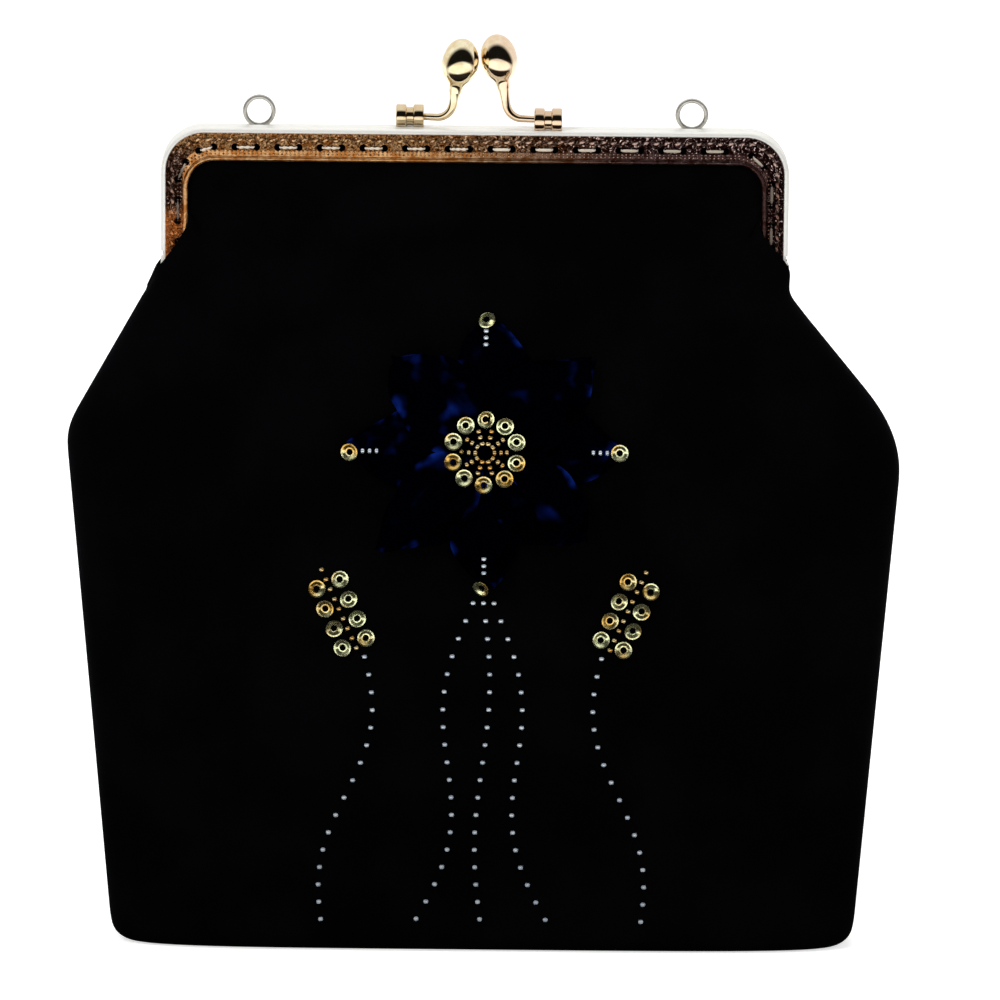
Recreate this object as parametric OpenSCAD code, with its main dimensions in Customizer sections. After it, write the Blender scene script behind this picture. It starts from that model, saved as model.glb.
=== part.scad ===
// Clutch purse with a sewn velvet bag and a hinged kiss-lock frame.
// Millimetres. +X right, +Z up, the front faces -Y, the origin is the middle of the base.

/* [Frame] */
// Outer width of the metal frame across its two legs
frame_w = 180; // [172:1:186]
// Height of the frame's top edge above the base
frame_top_z = 238; // [236:1:242]
// Height of the hinge axis above the base
hinge_z = 198; // [196:1:200]
// Offset of the frame to the right of the bag's middle
frame_shift = -3.6; // [-4:0.1:4]
// Width of the embossed face along the top bar, from the outer edge to the lip
top_bar_w = 9.5; // [9:0.1:10.5]
// Width of the embossed face down the legs
leg_w = 7.8; // [7.4:0.1:8.4]
// Outer corner radius of the frame
frame_corner_r = 12.5; // [12:0.5:14]

/* [Sewing] */
// Diameter of the sewing holes
hole_d = 2.1; // [1.8:0.1:2.2]
// Pitch of the sewing holes
hole_pitch = 6.1; // [6:0.1:6.2]
// Diameter of the sewing thread
thread_d = 0.72; // [0.6:0.02:0.8]

/* [Bag] */
// Half width of the bag at the left of its base
left_base_w = 107.3; // [100:0.1:110]
// Half width of the bag at the right of its base
right_base_w = 108.1; // [100:0.1:110]
// Half width of the bag at its left shoulder
left_shoulder_w = 121; // [116:0.1:124]
// Half width of the bag at its right shoulder
right_shoulder_w = 120.7; // [116:0.1:124]
// Height of the shoulders above the base
shoulder_z = 149.5; // [140:0.5:155]
// Half depth of the boxed base
base_half_depth = 21; // [20:0.5:22]
// Half depth of the bag where it is fullest
belly_half_depth = 24; // [23:0.5:26]
// Half depth of the bag at the hinge axis
mouth_half_depth = 20; // [20:0.5:21]

/* [Fabric] */
// Thickness of the velvet
velvet_t = 1.3; // [1:0.1:1.3]
// Thickness of the fleece between the velvet and the lining
fleece_t = 1.6; // [1.2:0.1:1.6]
// Thickness of the lining
lining_t = 0.6; // [0.4:0.1:0.6]

/* [Clasp] */
// Diameter of the two clasp balls
ball_d = 10.6; // [10:0.1:10.6]
// Height of a clasp ball from the end of its neck to its tip
ball_h = 15.8; // [15:0.1:16]
// Diameter of the bent clasp arms
arm_d = 2.4; // [2.2:0.1:2.6]
// Outer diameter of the chain rings
ring_d = 9.5; // [9:0.1:10]

/* [Embroidery] */
// Petals round the flower
petal_count = 8; // [8:2:8]
// Radius of the flower from its middle to a petal's tip
flower_r = 40; // [36:1:41]
// Height of the flower's middle above the base
flower_z = 148; // [146:1:149]
// Diameter of the sequins
sequin_d = 5; // [4:0.5:5]
// Diameter of the seed beads
bead_d = 1.5; // [1.2:0.1:1.6]

/* [Hidden] */
$fn = 48;

gold = [0.72, 0.48, 0.24];
pale_gold = [0.86, 0.74, 0.5];
black_velvet = [0.03, 0.03, 0.035];
black_satin = [0.08, 0.08, 0.09];
white_fleece = [0.85, 0.85, 0.82];
navy_satin = [0.03, 0.05, 0.2];
silver_bead = [0.75, 0.8, 0.85];
cream_thread = [0.85, 0.78, 0.65];

// The frame. Depths are measured forwards from the plane where the two halves meet.
frame_half_w = frame_w / 2;
mid_gap = 0.15;
half_depth = 5.3;
spine_h = 2.4;
spine_round = 1.2;
face_front = 5.15;
face_back = 4.35;
back_plate_front = 1.6;
back_plate_back = 0.9;
back_plate_w = 7;
lip_r = 0.72;
lip_depth = 5.05;
inner_corner_r = 7.5;
leg_end = 1;
spine_end = 4.3;

// The hinge: the front ear lies outside the rear ear on the same rivet.
ear_r = 4;
ear_t = 0.9;
front_ear_x = frame_half_w - 1.5;
rear_ear_x = frame_half_w - 2.5;
rivet_r = 1.2;
rivet_clearance = 0.05;
rivet_head_r = 2.2;
rivet_head_t = 0.55;
ear_strap = [0.3, 10];

// The sewing holes, from the bottom of the left leg over the top to the right leg's.
hole_r = hole_d / 2;
thread_clearance = 0.02;
leg_hole_inset = 5;
top_hole_inset = 5.5;
top_hole_offset = -1.6;
top_holes_each_side = 12;
leg_hole_top = 15;
leg_hole_pitch = 6;
leg_holes = 4;
corner_holes = [[7.3, 10], [10.9, 6.7]];
leg_holes_in = [for (i = [leg_holes - 1:-1:0]) [leg_hole_inset, leg_hole_top + i * leg_hole_pitch]];
left_side_holes = [for (hole = concat(leg_holes_in, corner_holes)) [hole.x - frame_half_w, frame_top_z - hole.y]];
top_holes = [
    for (i = [-top_holes_each_side:top_holes_each_side])
        [top_hole_offset + i * hole_pitch, frame_top_z - top_hole_inset]
];
sewing_holes = concat(
    left_side_holes,
    top_holes,
    [for (i = [len(left_side_holes) - 1:-1:0]) [-left_side_holes[i].x, left_side_holes[i].y]]
);

// The clasp and the rings.
clasp_middle = 1;
foot_offset = 19.8;
foot_z = 240.8;
foot_depth = 2.7;
foot_r = 3.4;
foot_waist_r = 2.7;
foot_w = 8;
ball_offset = 5.5;
ball_depth = -1.2;
front_ball_z = 257.7;
rear_ball_z = 256.7;
ball_lean = 10;
bend_r = 4.8;
arm_r = arm_d / 2;
arm_gap = 0.36;
riser_r = arm_r + 0.1;
riser_lap = 0.3;
ball_up = 7.2;
ball_down = 5.8;
neck_h = ball_h - ball_up;
clasp_turn = 180 - atan2(foot_depth - ball_depth, foot_offset - ball_offset);
clasp_reach = norm([foot_offset - ball_offset, foot_depth - ball_depth]);
neck_angle = 150;
neck_r = 1.8;
neck_gap = 0.02;
saddle = [6.8, 3.8, 1.7];
spine_clearance = 0.02;
ring_offset = 62;
ring_wire_r = 0.7;
ring_land = 0.58;
ring_rise = 3.9;
ring_seat = [2.6, 2, 1.1];

// The bag's skin. Column angles run from the right seam over the front to the left seam.
seam_gap = 0.03;
layer_gap = 0.05;
base_corner_r = 6;
base_edge_r = 4.5;
left_round = 5;
right_round = 13;
right_neck_drop = 7;
neck_round = 5;
belly_z = 85;
base_square = 4.5;
mouth_square = 2.4;
half_columns = [0, 2, 6, 12, 20, 30, 42, 54, 66, 78];
columns = concat(half_columns, [90], [for (i = [len(half_columns) - 1:-1:0]) 180 - half_columns[i]]);
base_rows = [0, 0.5, 1];
edge_rows = [30, 60, 90];
side_rows = [6, 30, 60, 85, 115, 136.5, 144.5, 149.5, 154.5, 162.5, 172, 181];
velvet_top = hinge_z - 0.5;
inner_top = hinge_z - 13.5;
notch_drop = 6.5;
notch_from = 76;
notch_to = 82;

// The rigid aprons stand for the fabric that opens with the frame.
apron_half_w = 86.4;
apron_corner_r = 10;
apron_top = frame_top_z - spine_h - 0.3;
apron_bottom = hinge_z + 0.2;
apron_front = 4.2;
apron_bulge = 14;
apron_open_w = 81.5;
apron_full_until = 29;
apron_columns = [-1, -0.943, -0.9, -0.78, -0.6, -0.4, -0.2, 0, 0.2, 0.4, 0.6, 0.78, 0.9, 0.943, 1];
apron_rows = [0, 0.13, 0.26, 0.4, 0.55, 0.68, 0.78, 0.86, 0.93, 1];

// The embroidery stands on the panel, in layers of its own.
petal_t = 0.6;
petal_lift = 0.05;
petal_layer = 0.75;
petal_w = 24;
petal_root = 5;
sequin_t = 0.3;
sequin_hole_d = 1;
flower_lift = 1.5;
button_r = 4.8;
flower_sequins = 10;
flower_sequin_r = 9.5;
flower_bead_rows = [2.7, 4.5, 6.3];
spray_leaves = 4;
spray_pitch = 6.2;
spray_x = 37;
spray_z = 92;
spray_lean = 24;
spray_leaf_x = 3.6;
sequin_lift = 0.1;
spray_bead_lift = 0.6;
tip_bead_pitch = 2;

// The stems, left to right: across at the top, across at the base, height of the top, sway.
stem_bead_pitch = 5.2;
stem_bottom_z = 8;
stems = [[-34, -46, 88, 4], [-3, -20, 104, -5], [0, 0, 104, 2], [3, 20, 104, 5], [34, 46, 88, -4]];

function mix(a, b, f) = a + (b - a) * f;
function clamp(f) = max(0, min(1, f));
function smooth(f) = clamp(f) * clamp(f) * (3 - 2 * clamp(f));

// Half width of the bag at a height, on the left (side -1) or the right (side 1). It grows from the base to the
// shoulder and narrows from there to the neck, above which it goes straight up. Both bends are rounded.
function base_w(side) = side < 0 ? left_base_w : right_base_w;
function shoulder_w(side) = side < 0 ? left_shoulder_w : right_shoulder_w;
function shoulder_round(side) = side < 0 ? left_round : right_round;
function neck_w(side) = frame_half_w + side * frame_shift;
function neck_z(side) = hinge_z - (side < 0 ? 0 : right_neck_drop);
function straight_w(z, side) =
    z < shoulder_z ? mix(base_w(side), shoulder_w(side), z / shoulder_z)
    : mix(shoulder_w(side), neck_w(side), clamp((z - shoulder_z) / (neck_z(side) - shoulder_z)));
function rounded(low, middle, high, f) = mix(mix(low, middle, f), mix(middle, high, f), f);
function round_w(z, side, at, r) =
    rounded(straight_w(at - r, side), straight_w(at, side), straight_w(at + r, side), (z - at + r) / (2 * r));
function side_w(z, side) =
    let (r = shoulder_round(side))
    abs(z - shoulder_z) < r ? round_w(z, side, shoulder_z, r)
    : side > 0 && abs(z - neck_z(side)) < neck_round ? round_w(z, side, neck_z(side), neck_round)
    : straight_w(z, side);
function corner_cut(z, inset) =
    let (r = base_corner_r - inset, up = base_corner_r - z)
    up < 0 ? inset : base_corner_r - sqrt(max(0, r * r - up * up));
function half_w(z, side, inset) = side_w(z, side) - corner_cut(z, inset);

// Half depth of the bag, and how square its plan is, at a height.
function half_d(z) =
    z < belly_z
    ? mix(base_half_depth, belly_half_depth, sin(90 * (z - base_edge_r) / (belly_z - base_edge_r)))
    : mix(mouth_half_depth, belly_half_depth, cos(90 * (z - belly_z) / (hinge_z - belly_z)));
function squareness(z) = mouth_square + (base_square - mouth_square) * pow(1 - z / hinge_z, 2);
function side_share(angle, z) = pow(abs(cos(angle)), 2 / squareness(z));
function front_share(angle, z) = pow(abs(sin(angle)), 2 / squareness(z));
function side_of(angle) = angle > 90 ? -1 : 1;

// One point of the skin, at a column's angle, a height, a half depth and an inset.
function skin_point(angle, z, depth, inset) = [
    side_of(angle) * half_w(z, side_of(angle), inset) * side_share(angle, z),
    -seam_gap - (depth - seam_gap) * front_share(angle, z),
    z
];
function notch(angle) =
    let (x = half_w(hinge_z, side_of(angle), 0) * side_share(angle, hinge_z))
    notch_drop * smooth((x - notch_from) / (notch_to - notch_from));
function skin(inset, top, notched) =
    let (edge_r = base_edge_r - inset, edge_d = base_half_depth - base_edge_r)
    concat(
        [for (f = base_rows) [for (a = columns) skin_point(a, inset, max(seam_gap, f * edge_d), inset)]],
        [for (e = edge_rows) [
            for (a = columns)
                skin_point(a, base_edge_r - edge_r * cos(e), edge_d + edge_r * sin(e), inset)
        ]],
        [for (z = side_rows) [for (a = columns) skin_point(a, z, half_d(z) - inset, inset)]],
        [for (f = [0.5, 1]) [
            for (a = columns)
                let (z = mix(side_rows[len(side_rows) - 1], top - (notched ? notch(a) : 0), f))
                skin_point(a, z, half_d(z) - inset, inset)
        ]]
    );

// One point of an apron: across is -1 to 1, up is 0 at the hinge and 1 in the frame's channel.
function apron_edge(up) =
    let (drop = (1 - up) * (apron_top - apron_bottom))
    drop > apron_corner_r ? apron_half_w
    : apron_half_w - apron_corner_r + sqrt(pow(apron_corner_r, 2) - pow(apron_corner_r - drop, 2));
function apron_fall(h) = let (f = clamp(h / apron_full_until)) (1 - f) * (1 + 0.35 * f);
function apron_point(across, up, inset) =
    let (
        x = across * apron_edge(up),
        h = up * (apron_top - apron_bottom),
        bulge = apron_bulge * (1 - pow(min(1, abs(x) / apron_open_w), 2.4)) * apron_fall(h)
    )
    [x, -(apron_front - inset + bulge), apron_bottom + h];
function apron(inset) = [for (up = apron_rows) [for (a = apron_columns) apron_point(a, up, inset)]];

// Where the front panel's surface lies at a place on it.
function panel_y(x, z) =
    let (n = squareness(z), share = abs(x) / half_w(z, x < 0 ? -1 : 1, 0))
    -half_d(z) * pow(1 - pow(share, n), 1 / n);

// A closed shell between an outer and an inner grid of points, each a list of rows.
module shell(outer, inner) {
    rows = len(outer);
    cols = len(outer[0]);
    function at(layer, row, col) = (layer * rows + row) * cols + col;
    function quad(a, b, c, d) = [[a, b, c], [a, c, d]];
    outside = [
        for (r = [0:rows - 2], c = [0:cols - 2])
            each quad(at(0, r, c), at(0, r + 1, c), at(0, r + 1, c + 1), at(0, r, c + 1))
    ];
    inside = [
        for (r = [0:rows - 2], c = [0:cols - 2])
            each [
                [at(1, r, c), at(1, r + 1, c + 1), at(1, r + 1, c)],
                [at(1, r, c), at(1, r, c + 1), at(1, r + 1, c + 1)]
            ]
    ];
    ends = [
        for (c = [0:cols - 2])
            each concat(
                quad(at(0, 0, c), at(0, 0, c + 1), at(1, 0, c + 1), at(1, 0, c)),
                quad(at(0, rows - 1, c), at(1, rows - 1, c), at(1, rows - 1, c + 1), at(0, rows - 1, c + 1))
            )
    ];
    sides = [
        for (r = [0:rows - 2])
            each concat(
                quad(at(0, r, 0), at(1, r, 0), at(1, r + 1, 0), at(0, r + 1, 0)),
                quad(at(0, r, cols - 1), at(0, r + 1, cols - 1), at(1, r + 1, cols - 1), at(1, r, cols - 1))
            )
    ];
    polyhedron(
        [for (grid = [outer, inner], row = grid) each row],
        concat(outside, inside, ends, sides)
    );
}

// Turns a front piece into its rear twin.
module to_rear() {
    mirror([0, 1, 0]) children();
}

// Places what is drawn round the frame's own middle.
module on_frame() {
    translate([frame_shift, 0, 0]) children();
}

// Both ends of the frame, the right one drawn and the left one mirrored.
module both_sides() {
    children();
    mirror([1, 0, 0]) children();
}

// Puts a flat outline, drawn with X across and Y up, between two depths of the front half.
module plate(front, back) {
    translate([0, -back, 0])
        rotate([90, 0, 0])
            linear_extrude(front - back)
                children();
}

// An arch outline: two straight legs and a top with round corners.
module arch_2d(half_w, top, corner_r, bottom) {
    translate([-half_w, bottom]) square([2 * half_w, top - corner_r - bottom]);
    translate([corner_r - half_w, bottom]) square([2 * (half_w - corner_r), top - bottom]);
    for (side = [-1, 1])
        translate([side * (half_w - corner_r), top - corner_r])
            circle(corner_r);
}

module outer_arch_2d(inset, bottom) {
    arch_2d(frame_half_w - inset, frame_top_z - inset, frame_corner_r - inset, bottom);
}

module inner_arch_2d() {
    arch_2d(frame_half_w - leg_w, frame_top_z - top_bar_w, inner_corner_r, 0);
}

module sewing_holes_2d() {
    for (hole = sewing_holes)
        translate(hole)
            circle(hole_r);
}

// The spine's section: its outer edge at X 0, its depth along Y.
module spine_2d() {
    translate([-spine_h, mid_gap]) square([spine_h - spine_round, half_depth - mid_gap]);
    translate([-spine_h, mid_gap + spine_round]) square([spine_h, half_depth - mid_gap - 2 * spine_round]);
    for (depth = [mid_gap + spine_round, half_depth - spine_round])
        translate([-spine_round, depth])
            circle(spine_round);
}

// Carries a section along the right half of the frame's outer edge, down to a height.
module along_edge(bottom) {
    corner_x = frame_half_w - frame_corner_r;
    corner_z = frame_top_z - frame_corner_r;
    translate([frame_half_w, 0, bottom])
        linear_extrude(corner_z - bottom)
            mirror([0, 1])
                children();
    translate([corner_x, 0, corner_z])
        rotate([90, 0, 0])
            rotate_extrude(angle = 90)
                translate([frame_corner_r, 0])
                    children();
    translate([0, 0, frame_top_z])
        rotate(a = 180, v = [1, 0, 1])
            linear_extrude(corner_x)
                children();
}

// The rolled lip that runs round the inner edge of the face.
module lip() {
    leg_x = frame_half_w - leg_w + lip_r;
    top_z = frame_top_z - top_bar_w + lip_r;
    bend_r = inner_corner_r + lip_r;
    bottom = hinge_z + leg_end;
    both_sides() {
        translate([leg_x, -lip_depth, bottom]) cylinder(h = top_z - bend_r - bottom, r = lip_r);
        translate([leg_x - bend_r, -lip_depth, top_z - bend_r])
            rotate([90, 0, 0])
                rotate_extrude(angle = 90)
                    translate([bend_r, 0])
                        circle(lip_r);
        translate([0, -lip_depth, top_z]) rotate([0, 90, 0]) cylinder(h = leg_x - bend_r, r = lip_r);
    }
}

// A hinge ear on the front side of the axis, its outer face at a distance from the middle.
module ear(outer_x) {
    translate([outer_x - ear_t, 0, hinge_z]) rotate([0, 90, 0]) cylinder(h = ear_t, r = ear_r);
    translate([outer_x - ear_t, -ear_r, hinge_z]) cube([ear_t, ear_r - ear_strap.x, ear_strap.y]);
}

module rivet_bore(r) {
    translate([-frame_w, 0, hinge_z]) rotate([0, 90, 0]) cylinder(h = 2 * frame_w, r = r);
}

module frame_half(ear_x, bore_r) {
    difference() {
        union() {
            both_sides() {
                along_edge(hinge_z + spine_end) spine_2d();
                ear(ear_x + ear_t);
            }
            plate(face_front, face_back)
                difference() {
                    outer_arch_2d(spine_round, hinge_z + leg_end);
                    inner_arch_2d();
                    sewing_holes_2d();
                }
            plate(back_plate_front, back_plate_back)
                difference() {
                    outer_arch_2d(spine_round, hinge_z + spine_end);
                    arch_2d(frame_half_w - back_plate_w, frame_top_z - back_plate_w - 1, 6, 0);
                    sewing_holes_2d();
                }
            lip();
        }
        rivet_bore(bore_r);
    }
}

module front_frame() {
    color(gold)
        on_frame()
            frame_half(front_ear_x, rivet_r);
}

module rear_frame() {
    color(gold)
        on_frame()
            to_rear()
                frame_half(rear_ear_x, rivet_r + rivet_clearance);
}

// A shank through both ears with a flat head at each end.
module hinge_rivet(side) {
    inner_x = rear_ear_x - rivet_clearance;
    outer_x = front_ear_x + ear_t + rivet_clearance;
    color(gold)
        on_frame()
            translate([0, 0, hinge_z])
                mirror([side < 0 ? 1 : 0, 0, 0])
                    rotate([0, 90, 0]) {
                        for (head_x = [inner_x - rivet_head_t, outer_x])
                            translate([0, 0, head_x])
                                cylinder(h = rivet_head_t, r = rivet_head_r);
                        translate([0, 0, inner_x - rivet_head_t])
                            cylinder(h = outer_x - inner_x + 2 * rivet_head_t, r = rivet_r);
                    }
}

// What sits on a spine is cut to the spine's own top.
module clear_of_spine() {
    difference() {
        children();
        translate([-frame_w, -half_depth, frame_top_z - spine_h - foot_r])
            cube([2 * frame_w, 2 * half_depth, spine_h + foot_r + spine_clearance]);
    }
}

// Draws the front side's clasp, or the rear side's, which is the same turned half round.
module clasp_side(rear) {
    on_frame()
        translate([clasp_middle, 0, 0])
            rotate([0, 0, rear ? 180 : 0])
                children();
}

// The barrel foot: two rings and a waist, on a saddle.
module clasp_foot(rear) {
    ring_w = 0.38 * foot_w;
    color(pale_gold)
        clasp_side(rear)
            clear_of_spine()
                translate([foot_offset, -foot_depth, foot_z]) {
                    for (end = [-1, 1])
                        translate([end * (foot_w - ring_w) / 2 - ring_w / 2, 0, 0])
                            rotate([0, 90, 0])
                                cylinder(h = ring_w, r = foot_r);
                    translate([-foot_w / 4, 0, 0])
                        rotate([0, 90, 0])
                            cylinder(h = foot_w / 2, r = foot_waist_r);
                    translate([-saddle.x / 2, -saddle.y / 2, -foot_r]) cube(saddle);
                }
}

// Turns +X from the foot towards the ball, with the origin at the foot.
module towards_ball(rear) {
    clasp_side(rear)
        translate([foot_offset, -foot_depth, 0])
            rotate([0, 0, clasp_turn])
                children();
}

// A bent arm: along from the foot, a bend, and up with the lean of the ball to its neck.
module clasp_arm(rear) {
    neck_x = clasp_reach - neck_h * sin(ball_lean);
    neck_z = (rear ? rear_ball_z : front_ball_z) - neck_h * cos(ball_lean);
    rise = (neck_z - foot_z - bend_r * (1 - sin(ball_lean))) / cos(ball_lean);
    bend_x = neck_x - rise * sin(ball_lean) - bend_r * cos(ball_lean);
    start = foot_w / 2 + arm_gap;
    color(pale_gold)
        towards_ball(rear) {
            translate([start, 0, foot_z])
                rotate([0, 90, 0])
                    cylinder(h = bend_x - start, r = arm_r);
            translate([bend_x, 0, foot_z + bend_r])
                rotate([90, 0, 0])
                    rotate([0, 0, -90])
                        rotate_extrude(angle = 90 - ball_lean)
                            translate([bend_r, 0])
                                circle(arm_r);
            translate([neck_x, 0, neck_z])
                rotate([0, 180 + ball_lean, 0])
                    translate([0, 0, neck_gap])
                        cylinder(h = rise - neck_gap + riser_lap, r = riser_r);
        }
}

// A point of the teardrop's outline, widest at 90 degrees from its tip. A cone below it runs out in the neck.
function ball_point(angle) =
    [ball_d / 2 * sin(angle), cos(angle) * (angle < 90 ? ball_up : ball_down / -cos(neck_angle))];

module clasp_ball(rear) {
    ball_z = rear ? rear_ball_z : front_ball_z;
    outline = [for (angle = [0:10:neck_angle]) ball_point(angle)];
    color(pale_gold)
        towards_ball(rear)
            translate([clasp_reach, 0, ball_z])
                rotate([0, ball_lean, 0])
                    rotate_extrude()
                        polygon(concat(outline, [[neck_r, -neck_h], [0, -neck_h]]));
}

// A fixed ring that stands on the rear spine; its inner land takes a chain's clip.
module chain_ring(side) {
    ring_z = frame_top_z + ring_rise;
    color(pale_gold)
        on_frame()
            clear_of_spine()
                translate([side * ring_offset, foot_depth, ring_z]) {
                    rotate([90, 0, 0])
                        rotate_extrude()
                            intersection() {
                                translate([ring_d / 2 - ring_wire_r, 0]) circle(ring_wire_r);
                                translate([ring_d / 2 - ring_wire_r - ring_land, -1]) square([2, 2]);
                            }
                    difference() {
                        translate([-ring_seat.x / 2, -ring_seat.y / 2, -ring_d / 2]) cube(ring_seat);
                        rotate([90, 0, 0]) cylinder(h = ring_d, r = ring_d / 2 - ring_wire_r, center = true);
                    }
                }
}

// A straight round rod between two places on the frame's face, at a depth.
module thread_rod(from, to, depth) {
    run = to - from;
    translate([from.x, -depth, from.y])
        rotate([0, 90 - atan2(run.y, run.x), 0])
            cylinder(h = norm(run), r = thread_d / 2);
}

// Running stitch: over the face, through a hole, over the back plate, and out again.
module running_stitch() {
    over = face_front + thread_d / 2 + thread_clearance;
    under = back_plate_back - thread_d / 2 - thread_clearance;
    through_d = thread_d - 0.12;
    for (i = [0:len(sewing_holes) - 2])
        thread_rod(sewing_holes[i], sewing_holes[i + 1], i % 2 == 1 ? over : under);
    for (hole = sewing_holes)
        translate([hole.x, -under, hole.y])
            rotate([90, 0, 0])
                cylinder(h = over - under, d = through_d);
}

module front_frame_stitching() {
    color(cream_thread)
        on_frame()
            running_stitch();
}

module rear_frame_stitching() {
    color(cream_thread)
        on_frame()
            to_rear()
                running_stitch();
}

// One layer of the bag below the hinge, from its outer inset to its inner one.
module bag_layer(inset, thickness, top, notched) {
    shell(skin(inset, top, notched), skin(inset + thickness, top, notched));
}

fleece_inset = velvet_t + layer_gap;
lining_inset = fleece_inset + fleece_t + layer_gap;

module front_panel() {
    color(black_velvet)
        bag_layer(0, velvet_t, velvet_top, true);
}

module rear_panel() {
    color(black_velvet)
        to_rear()
            bag_layer(0, velvet_t, velvet_top, true);
}

module front_fleece() {
    color(white_fleece)
        bag_layer(fleece_inset, fleece_t, inner_top, false);
}

module rear_fleece() {
    color(white_fleece)
        to_rear()
            bag_layer(fleece_inset, fleece_t, inner_top, false);
}

module front_lining() {
    color(black_satin)
        bag_layer(lining_inset, lining_t, inner_top, false);
}

module rear_lining() {
    color(black_satin)
        to_rear()
            bag_layer(lining_inset, lining_t, inner_top, false);
}

// One layer of the fabric that opens with the frame.
module apron_layer(inset, thickness) {
    on_frame()
        shell(apron(inset), apron(inset + thickness));
}

module front_panel_top() {
    color(black_velvet)
        apron_layer(0, velvet_t);
}

module rear_panel_top() {
    color(black_velvet)
        to_rear()
            apron_layer(0, velvet_t);
}

module front_lining_top() {
    color(black_satin)
        apron_layer(velvet_t + layer_gap, lining_t);
}

module rear_lining_top() {
    color(black_satin)
        to_rear()
            apron_layer(velvet_t + layer_gap, lining_t);
}

// Draws on the flower's plane, which touches the front panel at the flower's middle.
module on_flower(lift) {
    rise = panel_y(0, flower_z + 1) - panel_y(0, flower_z - 1);
    translate([0, panel_y(0, flower_z) - lift, flower_z])
        rotate([90 - atan2(rise, 2), 0, 0])
            children();
}

// A pointed oval petal between two arcs, lying along +Y from its root.
module petal_2d() {
    petal_h = flower_r - petal_root;
    arc_r = (petal_h * petal_h + petal_w * petal_w) / (4 * petal_w);
    translate([0, petal_root + petal_h / 2])
        intersection_for(side = [-1, 1])
            translate([side * (arc_r - petal_w / 2), 0])
                circle(arc_r, $fn = 96);
}

module petal(i) {
    color(navy_satin)
        on_flower(petal_lift + (i % 2) * petal_layer)
            rotate([0, 0, i * 360 / petal_count])
                linear_extrude(petal_t)
                    petal_2d();
}

// The satin button under the beads in the flower's middle.
module flower_button() {
    color(navy_satin)
        on_flower(petal_lift)
            cylinder(h = flower_lift - 2 * petal_lift, r = button_r);
}

module sequin() {
    linear_extrude(sequin_t)
        difference() {
            circle(sequin_d / 2);
            circle(sequin_hole_d / 2);
        }
}

module flower_sequins() {
    color(gold)
        on_flower(flower_lift)
            for (i = [0:flower_sequins - 1])
                rotate([0, 0, i * 360 / flower_sequins])
                    translate([0, flower_sequin_r, 0])
                        sequin();
}

module flower_beads() {
    color(gold)
        on_flower(flower_lift + bead_d / 2)
            for (i = [0:flower_sequins - 1], r = flower_bead_rows)
                rotate([0, 0, (i + 0.5) * 360 / flower_sequins])
                    translate([0, r, 0])
                        sphere(bead_d / 2, $fn = 24);
}

// Draws at every other petal's tip.
module each_petal_tip() {
    for (i = [0:2:petal_count - 1])
        rotate([0, 0, i * 360 / petal_count])
            translate([0, flower_r - 1, 0])
                children();
}

module petal_tip_sequins() {
    color(gold)
        on_flower(flower_lift)
            each_petal_tip()
                sequin();
}

module petal_tip_beads() {
    color(silver_bead)
        on_flower(flower_lift + bead_d / 2)
            each_petal_tip()
                for (step = [2:4])
                    translate([0, -step * tip_bead_pitch, 0])
                        sphere(bead_d / 2, $fn = 24);
}

// A place on the front panel, lifted off it.
module on_panel(x, z, lift) {
    slope_x = atan2(panel_y(x + 1, z) - panel_y(x - 1, z), 2);
    slope_z = atan2(panel_y(x, z + 1) - panel_y(x, z - 1), 2);
    translate([x, panel_y(x, z) - lift, z])
        rotate([90 - slope_z, 0, slope_x])
            children();
}

// The leaves of a wheat-ear spray: places [x, z] in pairs up a leaning line.
function spray_point(side, i, leaf) =
    let (
        along = i * spray_pitch,
        across = leaf * spray_leaf_x,
        lean = spray_lean
    )
    [
        side * (spray_x + along * sin(lean) + across * cos(lean)),
        spray_z + along * cos(lean) - across * sin(lean)
    ];

module spray_sequins() {
    color(gold)
        for (side = [-1, 1], i = [0:spray_leaves - 1], leaf = [-1, 1]) {
            place = spray_point(side, i, leaf);
            on_panel(place.x, place.y, sequin_lift) sequin();
        }
}

module spray_beads() {
    color(gold)
        for (side = [-1, 1], i = [0:2 * spray_leaves]) {
            place = spray_point(side, i / 2 - 0.25, 0);
            on_panel(place.x, place.y, bead_d / 2 + spray_bead_lift) sphere(bead_d / 2, $fn = 24);
        }
}

// Where a stem runs at a height, swaying once each way between its top and the base.
function stem_x(stem, z) =
    let (f = (stem[2] - z) / (stem[2] - stem_bottom_z))
    mix(stem[0], stem[1], pow(f, 1.3)) + stem[3] * sin(360 * f);

module stem_beads() {
    color(silver_bead)
        for (stem = stems, z = [stem[2]:-stem_bead_pitch:stem_bottom_z])
            on_panel(stem_x(stem, z), z, bead_d / 2 + layer_gap)
                sphere(bead_d / 2, $fn = 24);
}

front_frame();
rear_frame();
hinge_rivet(-1);  // hinge_rivet_left
hinge_rivet(1);  // hinge_rivet_right
clasp_foot(false);  // clasp_foot_front
clasp_foot(true);  // clasp_foot_rear
clasp_arm(false);  // clasp_arm_front
clasp_arm(true);  // clasp_arm_rear
clasp_ball(false);  // clasp_ball_front
clasp_ball(true);  // clasp_ball_rear
chain_ring(-1);  // chain_ring_left
chain_ring(1);  // chain_ring_right
front_frame_stitching();
rear_frame_stitching();
front_panel();
rear_panel();
front_panel_top();
rear_panel_top();
front_fleece();
rear_fleece();
front_lining();
rear_lining();
front_lining_top();
rear_lining_top();
for (i = [1:petal_count])
    petal(i);
flower_button();
flower_sequins();
flower_beads();
petal_tip_sequins();
petal_tip_beads();
spray_sequins();
spray_beads();
stem_beads();
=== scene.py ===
import math
import bpy
from mathutils import Matrix, Vector
from mathutils.bvhtree import BVHTree


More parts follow.
